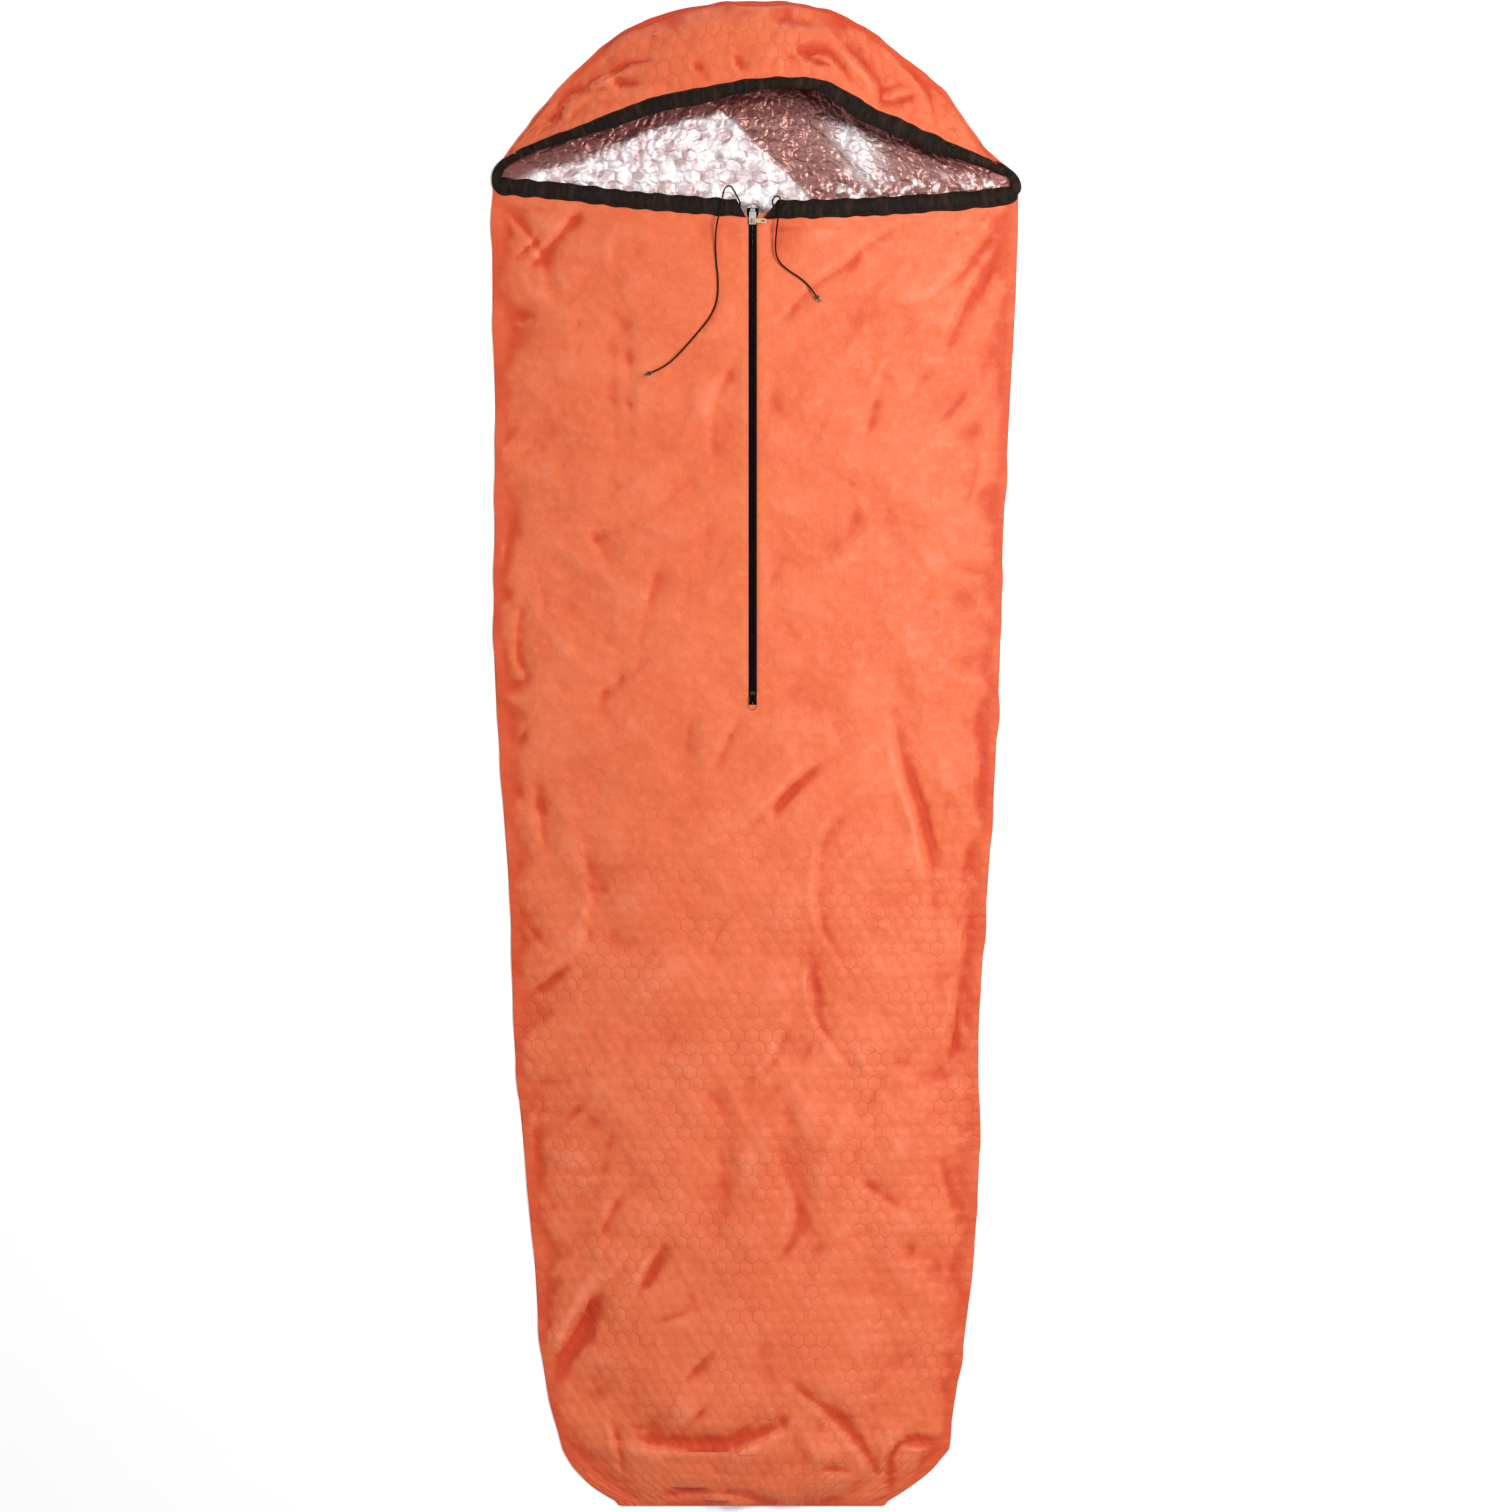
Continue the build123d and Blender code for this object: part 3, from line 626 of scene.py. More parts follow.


# ---------------------------------------------------------------- front and foot
# Width, depth (below 0) or rise, and line of each crease, in millimetres, placed one by one.
FOLDS = [
    (9, -7, (-240, 775), (-320, 685)),
    (6, -4, (-295, 740), (-340, 700)),
    (5, -3, (-365, 770), (-345, 730)),
    (5, 3, (-340, 695), (-320, 650)),
    (4, -2, (-335, 770), (-280, 765)),
    (10, -1.6, (-195, 740), (-199, 670), (-194, 595)),
    (7, -1.4, (-170, 740), (-170, 695)),
    (7, -3, (-240, 600), (-255, 555)),
    (12, -4, (-15, 565), (-55, 500), (-60, 410)),
    (6, -4, (-365, 615), (-305, 620)),
    (5, -3, (-360, 580), (-335, 575)),
    (6, -3.5, (10, 735), (85, 740), (165, 740)),
    (8, -5, (220, 750), (155, 715), (130, 690), (90, 665), (20, 590)),
    (10, -6, (350, 725), (315, 665), (285, 610), (265, 550)),
    (5, -4, (305, 755), (350, 755)),
    (5, -3, (275, 735), (310, 730)),
    (10, -4, (185, 545), (170, 495), (155, 445)),
    (8, -3, (245, 545), (220, 500)),
    (8, -3, (295, 510), (240, 445)),
    (6, -3, (345, 570), (345, 505)),
    (7, -5, (-345, 330), (-360, 240)),
    (6, -4, (-310, 255), (-300, 215), (-305, 180)),
    (7, -5, (-330, 215), (-335, 130), (-325, 105), (-350, 100)),
    (10, -3, (-230, 310), (-200, 255)),
    (12, -4, (-130, 285), (-150, 215), (-165, 140)),
    (8, -3, (-185, 110), (-220, 80)),
    (14, -6, (-310, -35), (-295, -150)),
    (6, -3, (-320, 40), (-335, 15)),
    (8, -4, (-325, -240), (-285, -285)),
    (9, -4, (-15, 65), (-60, -25)),
    (8, -3, (-90, 75), (-95, 0)),
    (8, -3, (105, 50), (125, 0)),
    (10, -5, (95, -10), (35, -65), (-10, -105)),
    (10, -4, (200, 25), (220, -45), (235, -100), (245, -150)),
    (9, -7, (315, 55), (320, -10), (315, -85)),
    (11, -5, (150, -65), (100, -115), (90, -175), (95, -240), (125, -300)),
    (8, -4, (305, -125), (290, -195)),
    (8, -5, (305, -220), (295, -320)),
    (9, -6, (-255, -290), (-310, -335)),
    (6, -3, (-330, -425), (-305, -450)),
    (6, -4, (-320, -465), (-250, -465)),
    (6, -3, (-265, -520), (-235, -490)),
    (12, -6, (-310, -520), (-310, -605)),
    (6, -3, (-270, -590), (-225, -595), (-200, -585)),
    (8, -4, (-190, -620), (-220, -680)),
    (9, -5, (80, -305), (90, -380), (115, -415), (150, -455)),
    (8, -4, (45, -385), (20, -440), (-10, -460)),
    (9, -7, (295, -305), (280, -380), (275, -440)),
    (5, -3, (290, -535), (315, -530)),
    (8, -4, (260, -565), (280, -645)),
    (9, -4, (145, -600), (220, -650)),
    (8, -4, (-135, -710), (-165, -760)),
    (11, -7, (-235, -765), (-270, -860)),
    (7, -3, (-145, -805), (-85, -785)),
    (7, -3, (-65, -845), (-100, -885)),
    (7, -3, (-65, -915), (-105, -955)),
    (12, -8, (-175, -970), (-95, -975), (-20, -970), (40, -945)),
    (7, -4, (-205, -935), (-185, -1020)),
    (9, -5, (40, -880), (125, -950), (180, -1030)),
    (8, -5, (270, -970), (195, -975), (190, -1040)),
    (6, -3, (80, -1010), (145, -1015)),
    (7, -4, (-150, -1050), (-35, -1045), (25, -1060)),
    (13, -7, (195, 60), (215, -35), (235, -85), (250, -180), (255, -250)),
    (9, -5, (85, -15), (30, -75), (25, -105)),
    (8, -5, (75, -290), (85, -345)),
    (18, -8, (-215, -755), (-280, -860)),
    (10, -6, (-125, -685), (-165, -755)),
    (12, -4, (-195, 430), (-200, 590)),
    (10, -4, (-175, 430), (-175, 590)),
    (8, -5, (-366, 790), (-300, 700), (-290, 640)),
    (8, -5, (355, 770), (300, 690), (250, 640)),
    (16, -5, (-250, -90), (-230, -200), (-250, -320)),
    (14, -5, (20, -540), (60, -640), (40, -720)),
]
HOOD_FOLDS = [
    (9, -5, (-250, 940), (-185, 970), (-140, 975)),
    (10, -5, (50, 980), (95, 990), (135, 950)),
    (5, -3, (-300, 900), (-275, 895)),
    (12, -6, (-205, 970), (-190, 945), (-155, 943)),
    (11, -6, (-306, 881), (-286, 893), (-269, 929), (-221, 938)),
    (5, 3, (-155, 1025), (-130, 1012)),
    (6, -3, (-90, 975), (-77, 956)),
    (13, -8, (121, 1007), (146, 978), (172, 946), (174, 916)),
    (8, -5, (58, 997), (84, 972), (111, 968)),
    (8, -4, (227, 931), (177, 917)),
    (5, 3, (288, 898), (276, 867)),
    (16, -4, (11, 1038), (90, 1028)),
    (6, -4, (322, 850), (335, 838)),
    (7, -4, (-330, 850), (-305, 872)),
    (8, -4, (-30, 985), (-20, 955)),
    (9, -5, (200, 985), (235, 950), (250, 905)),
]


# Share of a drawn crease's width and depth that the cloth takes; the creases are deeper at the foot.
DRAWN_WIDTH, DRAWN_DEPTH, DRAWN_DEPTH_AT_FOOT = 0.72, 0.9775, 1.53


def strokes_of(table, x, y):
    """Height of all the creases in a table."""
    height = np.zeros(x.shape)
    for width, depth, *points in table:
        line = np.array(points) / 1000
        share = DRAWN_DEPTH_AT_FOOT if line[:, 1].max() < -0.7 else DRAWN_DEPTH
        height += crease(x, y, line, DRAWN_WIDTH * width / 1000, share * depth / 1000)
    return height


def chance_creases(x, y, count, seed, low, high, upright, size=1.0, steep=1.0):
    """Height of many small creases wherever they fall between two corners; the larger upright is,
    the more of them run along the sack."""
    rng = np.random.default_rng(seed)
    height = np.zeros(x.shape)
    for _ in range(count):
        middle = rng.uniform(low, high)
        turn = math.pi / 2 + rng.normal(0, 1.0 / upright)
        reach = size * rng.uniform(0.012, 0.060)
        ahead = reach * np.array([math.cos(turn), math.sin(turn)])
        bow = 0.16 * reach * rng.normal(size=2)
        width = size * rng.uniform(0.0026, 0.0052)
        line = np.array([middle - ahead, middle + bow, middle + ahead])
        height += crease(x, y, line, width, -steep * rng.uniform(0.22, 0.42) * width)
    return height


# How far a drawn crease is shaded for each metre that it is deep.
CREASE_SHADE = 25.0


def held_edges(shape):
    """1 at the edges of a grid of points, 0 inside."""
    fixed = np.ones(shape)
    fixed[1:-1, 1:-1] = 0
    return fixed


def cloth(
    shape, fixed, spare, under, painted_extra_shade=0.0, roof_gap=0.009, rounds=110, hold=0.012, soften=0.09, floor=0.0034
):
    """Settled cloth, its cut coordinates and its painted fold shading, to which the extra painted shade
    is added. It stays below under and within roof_gap above the shape it starts in."""
    roof = np.minimum(np.maximum(shape[..., 2] + roof_gap, 0.004), under)
    settled = settle(shape, fixed, rounds, spare, hold, soften, floor, roof)
    return settled, cut_lengths(settled), np.clip(bend_of(settled) + painted_extra_shade, -1, 1)


def joined(piece, node_names, bodies):
    """Joins a piece to the frame on one body; a piece that spans two, across the fold line, only gets its
    placing baked into its points.
    """
    if len(bodies) == 2:
        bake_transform(piece)
    else:
        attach(piece, *bodies)
    if node_names:
        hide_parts(*node_names)
    return piece


def add_sheet(name, points, flat, bend, material, node_names, bodies, keep=None, reflection_and_shade=None):
    """A sheet of cloth from a grid of points; keep says which of its quads are there."""
    # The point values carry the painted fold shading and, for the film, its painted reflection tint.
    values = {"painted_shading": bend} if reflection_and_shade is None else {"painted_shading": bend, "reflection_and_shade": reflection_and_shade}
    piece = mesh_object(name, points, grid_faces(*points.shape[:2], keep), flat, values, material)
    joined(piece, node_names, bodies)
    across, down = points[:, 1:] - points[:, :-1], points[1:] - points[:-1]
    area = np.linalg.norm(np.cross(across[:-1], down[:, :-1]), axis=2)
    area = float(area.sum() if keep is None else area[keep].sum())
    width, length = (
        round(float(np.linalg.norm(steps, axis=2).sum(axis).max()), 3)
        for steps, axis in ((across, 1), (down, 0))
    )
    area = round(min(area, 0.999 * width * length), 4)


# The drawcord's loose ends lie on the front: their routes, in millimetres.
LEFT_TAIL = [
    (-27, 767, 61.4), (-20, 770.5, 61.8), (-24, 780.5, 63.1), (-30, 791.5, 64.8), (-35, 799, 66.1),
    (-42.5, 797, 66.6), (-46, 786, 67.2), (-48.5, 768, 67.7), (-54, 748, 67.2), (-56.5, 728, 62.7),
    (-56.3, 700, 62.4), (-52.6, 669, 62.6), (-53, 640, 62.5), (-62, 616, 62.1), (-84, 589, 60.7),
    (-108, 562, 58.6), (-128, 544, 56.6), (-146, 537, 55.9),
]
RIGHT_TAIL = [
    (33, 767.7, 61.2), (24.5, 770, 61.7), (23.5, 779, 63.6), (28.5, 785, 65.6), (35, 782, 67.5),
    (34.5, 770, 68.2), (31, 748, 68.0), (28.6, 728, 63.7), (27.7, 706, 63.5), (33, 691, 63.3),
    (47, 679, 62.8), (64, 668.5, 62.0), (76, 657.5, 61.3), (84.5, 645, 62.0),
]


def near_line(x, y, route):
    """1 along the part of a cord's route that lies on the shell, falling to 0 some 12 mm away."""
    resting = np.array([p[:2] for p in route if p[1] < 745]) / 1000
    gap = np.full(x.shape, 1.0)
    for px, py in line_through(resting, 60):
        gap = np.minimum(gap, np.hypot(x - px, y - py))
    return np.exp(-((gap / 0.009) ** 4))


def away_from(distance, reach, power=1):
    """1 where distance is 0, falling to 0 beyond reach; a higher power gives it a flatter top."""
    return np.exp(-((distance / reach) ** power))


def rising(distance, reach):
    """0 up to a distance of 0, then rising evenly to 1 at reach."""
    return np.clip(distance / reach, 0, 1)


# How far the sewn edges stand out past the dome, how high they lie, and the least height of a dome.
SEAM, EDGE_Z, LOW_Z = 0.004, 0.0017, 0.0034
SHEET_TOE, SHEET_LIP = -1.0625, 0.766
left_cols, right_cols, rows, foot_rows = 84, 86, 424, 26
toe_y = np.linspace(SHEET_TOE, FOOT_Y, foot_rows + 1)[:-1]
v = np.r_[toe_y, np.linspace(FOOT_Y, SHEET_LIP, rows)]
lift_up = np.clip((v - FOOT_Y) / (SHEET_LIP - FOOT_Y), 0, 1) ** 3
left, right, _ = section(v)
# the columns of the grid: left of the zip opening, across it, and right of it
column_at = np.r_[
    np.linspace(0, 1, left_cols + 1)[:-1], np.linspace(1, 2, 4)[:-1], np.linspace(2, 3, right_cols + 1)
]
breaks = np.stack([left, np.full_like(v, ZIP_X - SLOT), np.full_like(v, ZIP_X + SLOT), right], -1)
x = np.stack([np.interp(column_at, range(4), row) for row in breaks])
notch = 0.008 * away_from(x - ZIP_X, 0.020, 4)
y = v[:, None] + lift_up[:, None] * (lip_y(x) - SHEET_LIP - notch)
base = skin(x, y)
cell = ((SHEET_LIP - FOOT_Y) / rows, 0.74 / x.shape[1])
below_lip = lip_y(x) - y
edge_near = np.minimum(x - left[:, None], right[:, None] - x)
zip_near = away_from(x - ZIP_X, 0.023, 6) * (y > 0.055)

# The shell's height: soft rises and drawn creases on the dome, calm beside the zip and the edges.
soft = 0.0016 * noise(x.shape, cell, 0.20, 3, 0.7) + 0.0004 * noise(x.shape, cell, 0.08, 4, 0.8)
ridged = -0.0009 * np.abs(noise(x.shape, cell, 0.11, 5, 0.6)) * (0.4 + 0.6 * (np.abs(x) > 0.16))
small = -0.00022 * np.abs(noise(x.shape, cell, 0.034, 8, 1.3))
calm = (1 - 0.97 * zip_near) * rising(edge_near, 0.012) * rising(below_lip - 0.010, 0.018)
corners = (-0.37, -1.05), (0.37, 0.77)
drawn = strokes_of(FOLDS, x, y) + chance_creases(x, y, 420, 71, *corners, upright=1.4)
drawn += chance_creases(x, y, 64, 73, *corners, upright=1.8, size=3.2, steep=0.45)
z = base + (drawn + soft + ridged + small) * calm
shape = np.stack([x, y, np.maximum(z, LOW_Z)], -1)
shape[:, [0, -1], 2] = 0.0022
# What the cloth may do as it settles: how far it is held, how much longer its threads are than the
# shape, and the cords' ends that it stays under.
fixed = np.maximum(zip_near, held_edges(x.shape))
fixed[foot_rows] = np.maximum(fixed[foot_rows], 0.4)
spare = 0.003 + 0.002 * noise(x.shape, cell, 0.20, 6) + 0.009 * away_from(edge_near, 0.05)
spare = np.clip(spare + 0.012 * away_from(below_lip, 0.06), 0, 0.05) * calm
tail_near = np.max([near_line(x, y, route) for route in (LEFT_TAIL, RIGHT_TAIL)], axis=0)
under = base + 0.0001 + 0.02 * (1 - tail_near)
# Extra painted shade: along the edges where the dome turns down, and in the drawn creases, with painted
# light on the drawn rises; it is also darker towards the toe and in random patches.
painted_extra_shade = 0.30 * away_from(edge_near, 0.030) + 0.22 * away_from(y - SHEET_TOE, 0.20)
painted_extra_shade += 0.05 * noise(x.shape, cell, 0.22, 13, 0.6) - CREASE_SHADE * drawn * calm
front_shape, front_cut, front_shading = cloth(shape, fixed, spare, under, painted_extra_shade)

# The edges stay by the outline, the shell dips under the casing, and its cut edge into the zip.
height = front_shape[..., 2]
front_shape[..., 0] = np.clip(
    front_shape[..., 0], left[:, None] - 0.6 * SEAM, right[:, None] + 0.6 * SEAM
)
height -= np.minimum(0.0012 * rising(0.0135 - below_lip, 0.003), height / 3)
height -= 0.0013 * away_from(np.abs(x - ZIP_X) - SLOT, 0.0022, 2) * rising(y - 0.080, 0.004)
outer = 0.0011 * noise((len(v), 2), (cell[0], 1.0), 0.16, 12)
for column, sign in ((0, -1), (-1, 1)):
    front_shape[:, column, 0] += sign * (SEAM + outer[:, column])
    height[:, column] = EDGE_Z
front_shape[0, :, 1] -= SEAM * 0.6
height[0] = EDGE_Z

kept = np.ones((len(v) - 1, x.shape[1] - 1), bool)
kept[:, left_cols : left_cols + 3] = y[1:, :1] <= 0.082
body, toes = slice(foot_rows, None), slice(0, foot_rows + 1)
add_sheet(
    "front_shell", front_shape[body], front_cut[body], front_shading[body], orange,
    ["front_panel"], ["sack"], kept[foot_rows:],
)
add_sheet(
    "foot_shell", front_shape[toes], front_cut[toes], front_shading[toes], orange,
    ["foot_panel"], ["sack"],
)


def inner_copy(points, drop, share):
    """A copy of a sheet from every other point of it, lower by drop but at most by a share of its
    height. It keeps under the lowest point nearby."""
    low = points[..., 2]
    for _ in range(4):
        pad = np.pad(low, 1, mode="edge")
        down = np.minimum(np.minimum(pad[:-2], pad[1:-1]), pad[2:])
        low = np.minimum(np.minimum(down[:, :-2], down[:, 1:-1]), down[:, 2:])
    inner = points[::2, ::2].copy()
    low = low[::2, ::2]
    inner[..., 2] = low - np.minimum(drop, share * low)
    return inner


# The linings are painted partly mauve, as a reflection of the orange shell.
film_front = inner_copy(front_shape[body][:, 1:-1], 0.0022, 0.40)
film_plain = np.zeros(film_front.shape[:2])
film_x, film_y = film_front[..., 0], film_front[..., 1]
clear = (np.abs(film_x - ZIP_X) >= 0.0155) | (film_y <= 0.078)
clear = clear[:-1, :-1] & clear[1:, 1:] & clear[1:, :-1] & clear[:-1, 1:]
add_sheet(
    "front_film", film_front, front_cut[body][:, 1:-1][::2, ::2], film_plain, film,
    ["front_lining"], ["sack"], clear, film_plain + 0.6,
)
film_foot = inner_copy(front_shape[toes][3:, 2:-2], 0.0018, 0.35)
film_plain = np.zeros(film_foot.shape[:2])
add_sheet(
    "foot_film", film_foot, front_cut[toes][3:, 2:-2][::2, ::2], film_plain, film,
    ["foot_lining"], ["sack"], None, film_plain + 0.6,
)


# ---------------------------------------------------------------- hood
def outline_of_hood():
    """Hood's outer edge in plan, from the left corner over the crown to the right one, and the share
    of its length at each point."""
    y = HOOD_CORNER + (HOOD_TOP - HOOD_CORNER) * np.sin(np.linspace(0, math.pi / 2, 260))
    left, right, _ = section(y)
    line = np.concatenate([np.stack([left, y], -1), np.stack([right, y], -1)[::-1]])
    run = np.r_[0, np.cumsum(np.linalg.norm(np.diff(line, axis=0), axis=1))]
    return line, run / run[-1]


HOOD_CORNER, HOOD_TOP = 0.8145, 1.0625
hood_across, hood_down, hood_depth = 300, 72, 0.12
outline, outline_run = outline_of_hood()
u = np.linspace(0, 1, hood_across)
brim = line_through(HOOD_EDGE, hood_across)
rim = np.stack([np.interp(u, outline_run, column) for column in outline.T], -1)
w = np.linspace(0, 1, hood_down)[:, None]
plan = brim * (1 - w[..., None]) + rim * w[..., None]
x, y = plan[..., 0], plan[..., 1]
base = skin(x, y)
cell = (hood_depth / hood_down, 0.85 / hood_across)
# brim is the hood's edge at the mouth, rim its sewn edge
brim_near, rim_near = away_from(w * hood_depth, 0.030), away_from((1 - w) * hood_depth, 0.025)
depth = np.linalg.norm(rim - brim, axis=1)[None, :]
from_brim, from_rim = w * depth, (1 - w) * depth
calm = rising(from_brim - 0.010, 0.018) * rising(from_rim, 0.012) * rising(depth, 0.03)
gathers = 0.0010 * noise(x.shape, cell, 0.040, 21, 3.0) * brim_near
soft = 0.0013 * noise(x.shape, cell, 0.11, 22) + 0.0005 * noise(x.shape, cell, 0.05, 23)
soft += 0.0002 * noise(x.shape, cell, 0.02, 24)
drawn = 1.5 * strokes_of(HOOD_FOLDS, x, y)
drawn += chance_creases(x, y, 60, 72, (-0.36, 0.82), (0.36, 1.05), upright=0.9)
z = base + (drawn + soft + gathers) * calm
spare = (0.008 + 0.016 * brim_near + 0.012 * rim_near) * calm
shape = np.stack([x, y, np.maximum(z, LOW_Z)], -1)
shape[-1, :, 2] = 0.0022
under = base + 0.0003 + 0.02 * rising(from_brim - 0.012, 0.012)
# Extra painted shade: over the whole hood, more by its sewn edge, in random patches and in the drawn
# creases.
painted_extra_shade = 0.20 + 0.25 * rim_near + 0.10 * noise(x.shape, cell, 0.12, 26)
painted_extra_shade -= 1.2 * CREASE_SHADE * drawn * calm
hood_shape, hood_cut, hood_shading = cloth(shape, held_edges(x.shape), spare, under, painted_extra_shade)
hood_shape[..., 2] = np.maximum(hood_shape[..., 2], 0.0030 + 0.55 * base)
away = np.gradient(rim, axis=0)
away = np.stack([-away[:, 1], away[:, 0]], -1) / np.linalg.norm(away, axis=1)[:, None]
hood_shape[-1, :, :2] += away * (SEAM + 0.0004 * noise((hood_across, 1), (cell[1], 1), 0.05, 25))
hood_shape[-1, :, 2] = EDGE_Z
add_sheet(
    "hood_shell", hood_shape, hood_cut, hood_shading, orange,
    ["hood_panel"], ["sack", "hood"],
)
hood_inner = inner_copy(hood_shape[:-2], 0.0022, 0.40)
inside_shading = hood_shading[:-2][::2, ::2]
# The painted shading, turned over for the inside, and mostly the painted mauve reflection of the orange
# shell.
add_sheet(
    "hood_film", hood_inner, hood_cut[:-2][::2, ::2], -inside_shading, film,
    ["hood_lining"], ["sack", "hood"], None, np.full(inside_shading.shape, 0.85),
)


# ---------------------------------------------------------------- back sheets and the lining in the mouth
def flat_grid(low, high, rows, cols, inset, crowd=0.0):
    """Places across the sack from low to high, moved in by inset from its sewn edge; crowd packs rows
    towards the crown, where the outline turns."""
    t = np.linspace(0, 1, rows)
    t = (1 - crowd) * t + crowd * np.sin(t * math.pi / 2)
    y = low + (high - low) * t
    left, right, _ = section(np.clip(y, -CROWN_Y, CROWN_Y))
    u = np.linspace(0, 1, cols)[None]
    x = (left + inset)[:, None] * (1 - u) + (right - inset)[:, None] * u
    return x, np.broadcast_to(y[:, None], x.shape)


def hexagon_rise(x, y, across):
    """As hexagons, for arrays of places."""
    tall = math.sqrt(3)
    half = np.array([0.5, tall / 2])
    p = np.stack([x, y], -1) / across + (FAR_CELLS, FAR_CELLS * tall)
    first, second = (np.mod(start, (1, tall)) - half for start in (p, p + half))
    nearer = (first**2).sum(-1) < (second**2).sum(-1)
    q = np.abs(np.where(nearer[..., None], first, second))
    return 2 * np.maximum(q[..., 0], q @ half)


def back_sheet(name, low, high, rows, cols, crowd, seed, bodies, nodes):
    """Orange sheet that lies on the floor, hardly waved, from low to high along the sack."""
    x, y = flat_grid(low, high, rows, cols, -SEAM, crowd)
    cell = ((high - low) / rows, 0.72 / cols)
    edge = rising(np.minimum(np.arange(cols), np.arange(cols)[::-1]), 4)
    z = 0.0005 + 0.0004 * np.clip(noise(x.shape, cell, 0.06, seed), 0, 1.5) * edge
    points = np.stack([x, y, z], -1)
    # Painted shading from its small rises and hollows.
    bend = 0.4 * bend_of(points)
    add_sheet(name, points, cut_lengths(points), bend, orange, nodes, bodies)


back_sheet("back_sheet", -1.0645, 0.790, 280, 110, 0.0, 31, ["sack"], ["back_panel"])
back_sheet(
    "hood_back_sheet", 0.789, 1.0645, 90, 110, 0.8, 32, ["sack", "hood"], ["hood_back_panel"]
)

x, y = flat_grid(-1.050, 0.772, 220, 90, 0.012)
rumpled = 0.0004 * np.clip(np.abs(noise(x.shape, (1.82 / 220, 0.70 / 90), 0.06, 33)), 0, 2)
points = np.stack([x, y, 0.0014 + rumpled], -1)
# Painted slightly mauve, as a reflection of the orange shell.
add_sheet(
    "back_film", points, cut_lengths(points), bend_of(points), film,
    ["back_lining"], ["sack"], None, np.full(x.shape, 0.3),
)

mouth_rows, mouth_cols = 150, 330
x, y = flat_grid(0.750, 1.052, mouth_rows, mouth_cols, 0.006)
cell = (0.302 / mouth_rows, 0.70 / mouth_cols)
# the film is folded over along a line across the mouth: raised to its left, where it reflects the room and
# is painted bright as well
ridge_a, ridge_b = np.array([-0.047, 0.911]), np.array([0.082, 0.783])
along = (ridge_b - ridge_a) / np.linalg.norm(ridge_b - ridge_a)
past = (y - ridge_a[1]) * along[0] - (x - ridge_a[0]) * along[1]
past = past + 0.0015 * noise(x.shape, cell, 0.05, 41)
raised = 1 / (1 + np.exp(past / 0.0016))
on_left = raised * np.clip(1 + past / 0.5, 0, 1)
pleat_phase = (x + 0.30 * (y - 0.85)) / 0.0215 + 0.30 * noise(x.shape, cell, 0.07, 42)
pleat = np.abs(np.sin(pleat_phase * math.pi)) ** 0.8
pleat_area = away_from(x + 0.19, 0.10, 4) * away_from(y - 0.868, 0.045, 4)
puffs = 1 - hexagon_rise(x, y, HEXAGON) ** 2
rumpled = np.abs(noise(x.shape, cell, 0.020, 43)) + 0.7 * np.abs(noise(x.shape, cell, 0.009, 44))
z = 0.0028 + 0.0046 * on_left * np.exp(past / 0.09) + 0.0026 * pleat * pleat_area
z += 0.0010 * puffs * (0.35 + 0.65 * raised) + 0.0008 * rumpled * (1 - 0.45 * raised)
z += 0.0018 * np.clip(1 + noise(x.shape, cell, 0.06, 45), 0, 3)
under = np.maximum(0.42 * (skin(x, y) - SHELL), 0.0016)
shape = np.stack([x, y, np.minimum(z, under)], -1)
spare = 0.008 + 0.010 * (1 - raised) + 0.012 * pleat_area
mouth_shape, mouth_cut, mouth_shading = cloth(
    shape, held_edges(x.shape), spare, under + 0.0004,
    roof_gap=0.005, rounds=50, hold=0.05, soften=0.03, floor=0.0016,
)
# The film is painted mauve brown right of the fold, a painted reflection of the orange hood, but
# for a painted bright streak and painted glinting specks; and painted dark where the hood shades it.
painted_glint_streak = away_from(x - 0.143 + 0.45 * (y - 0.86), 0.027, 2) * away_from(y - 0.862, 0.05, 4)
painted_glint_specks = away_from(y - lip_y(x) - 0.022, 0.016, 2) * (x > 0.10)
painted_glint_specks = np.clip(painted_glint_specks * np.clip(noise(x.shape, cell, 0.022, 46), 0, 1.4), 0, 1)
reflection_and_shade = (1 - raised) * (1 - 0.90 * painted_glint_streak) * (1 - 0.9 * painted_glint_specks)
# Painted shadow of the hood on the film, reaching further at the left and the middle.
under_brim = np.interp(x, *brim.T) - y
reach = 0.014 + 0.014 * rising(-x - 0.10, 0.12) + 0.018 * away_from(x - 0.045, 0.075, 4)
shaded = np.clip(1.25 - (under_brim - 0.009) / reach, 0, 1) ** 0.7
patchy = 0.55 * rising(noise(x.shape, cell, 0.030, 47) - 0.2, 1) * raised
add_sheet(
    "hood_back_film", mouth_shape, mouth_cut, np.clip(0.6 * mouth_shading + 1.3 * shaded, -1, 1), film,
    ["hood_back_lining"], ["sack", "hood"], None,
    np.clip(np.max([reflection_and_shade, shaded, patchy], axis=0), 0, 1),
)


# ---------------------------------------------------------------- drawcord casing
# A casing's flat width, and how far its top and underside stand from the middle.
CASING_WIDTH, CASING_UP, CASING_DOWN = 0.025, 0.0024, 0.0034


def sideways(line):
    """Directions to the left of a line in plan, one for each of its points."""
    ahead = np.gradient(line, axis=0)
    return np.stack([-ahead[:, 1], ahead[:, 0]], -1) / np.linalg.norm(ahead, axis=1)[:, None]


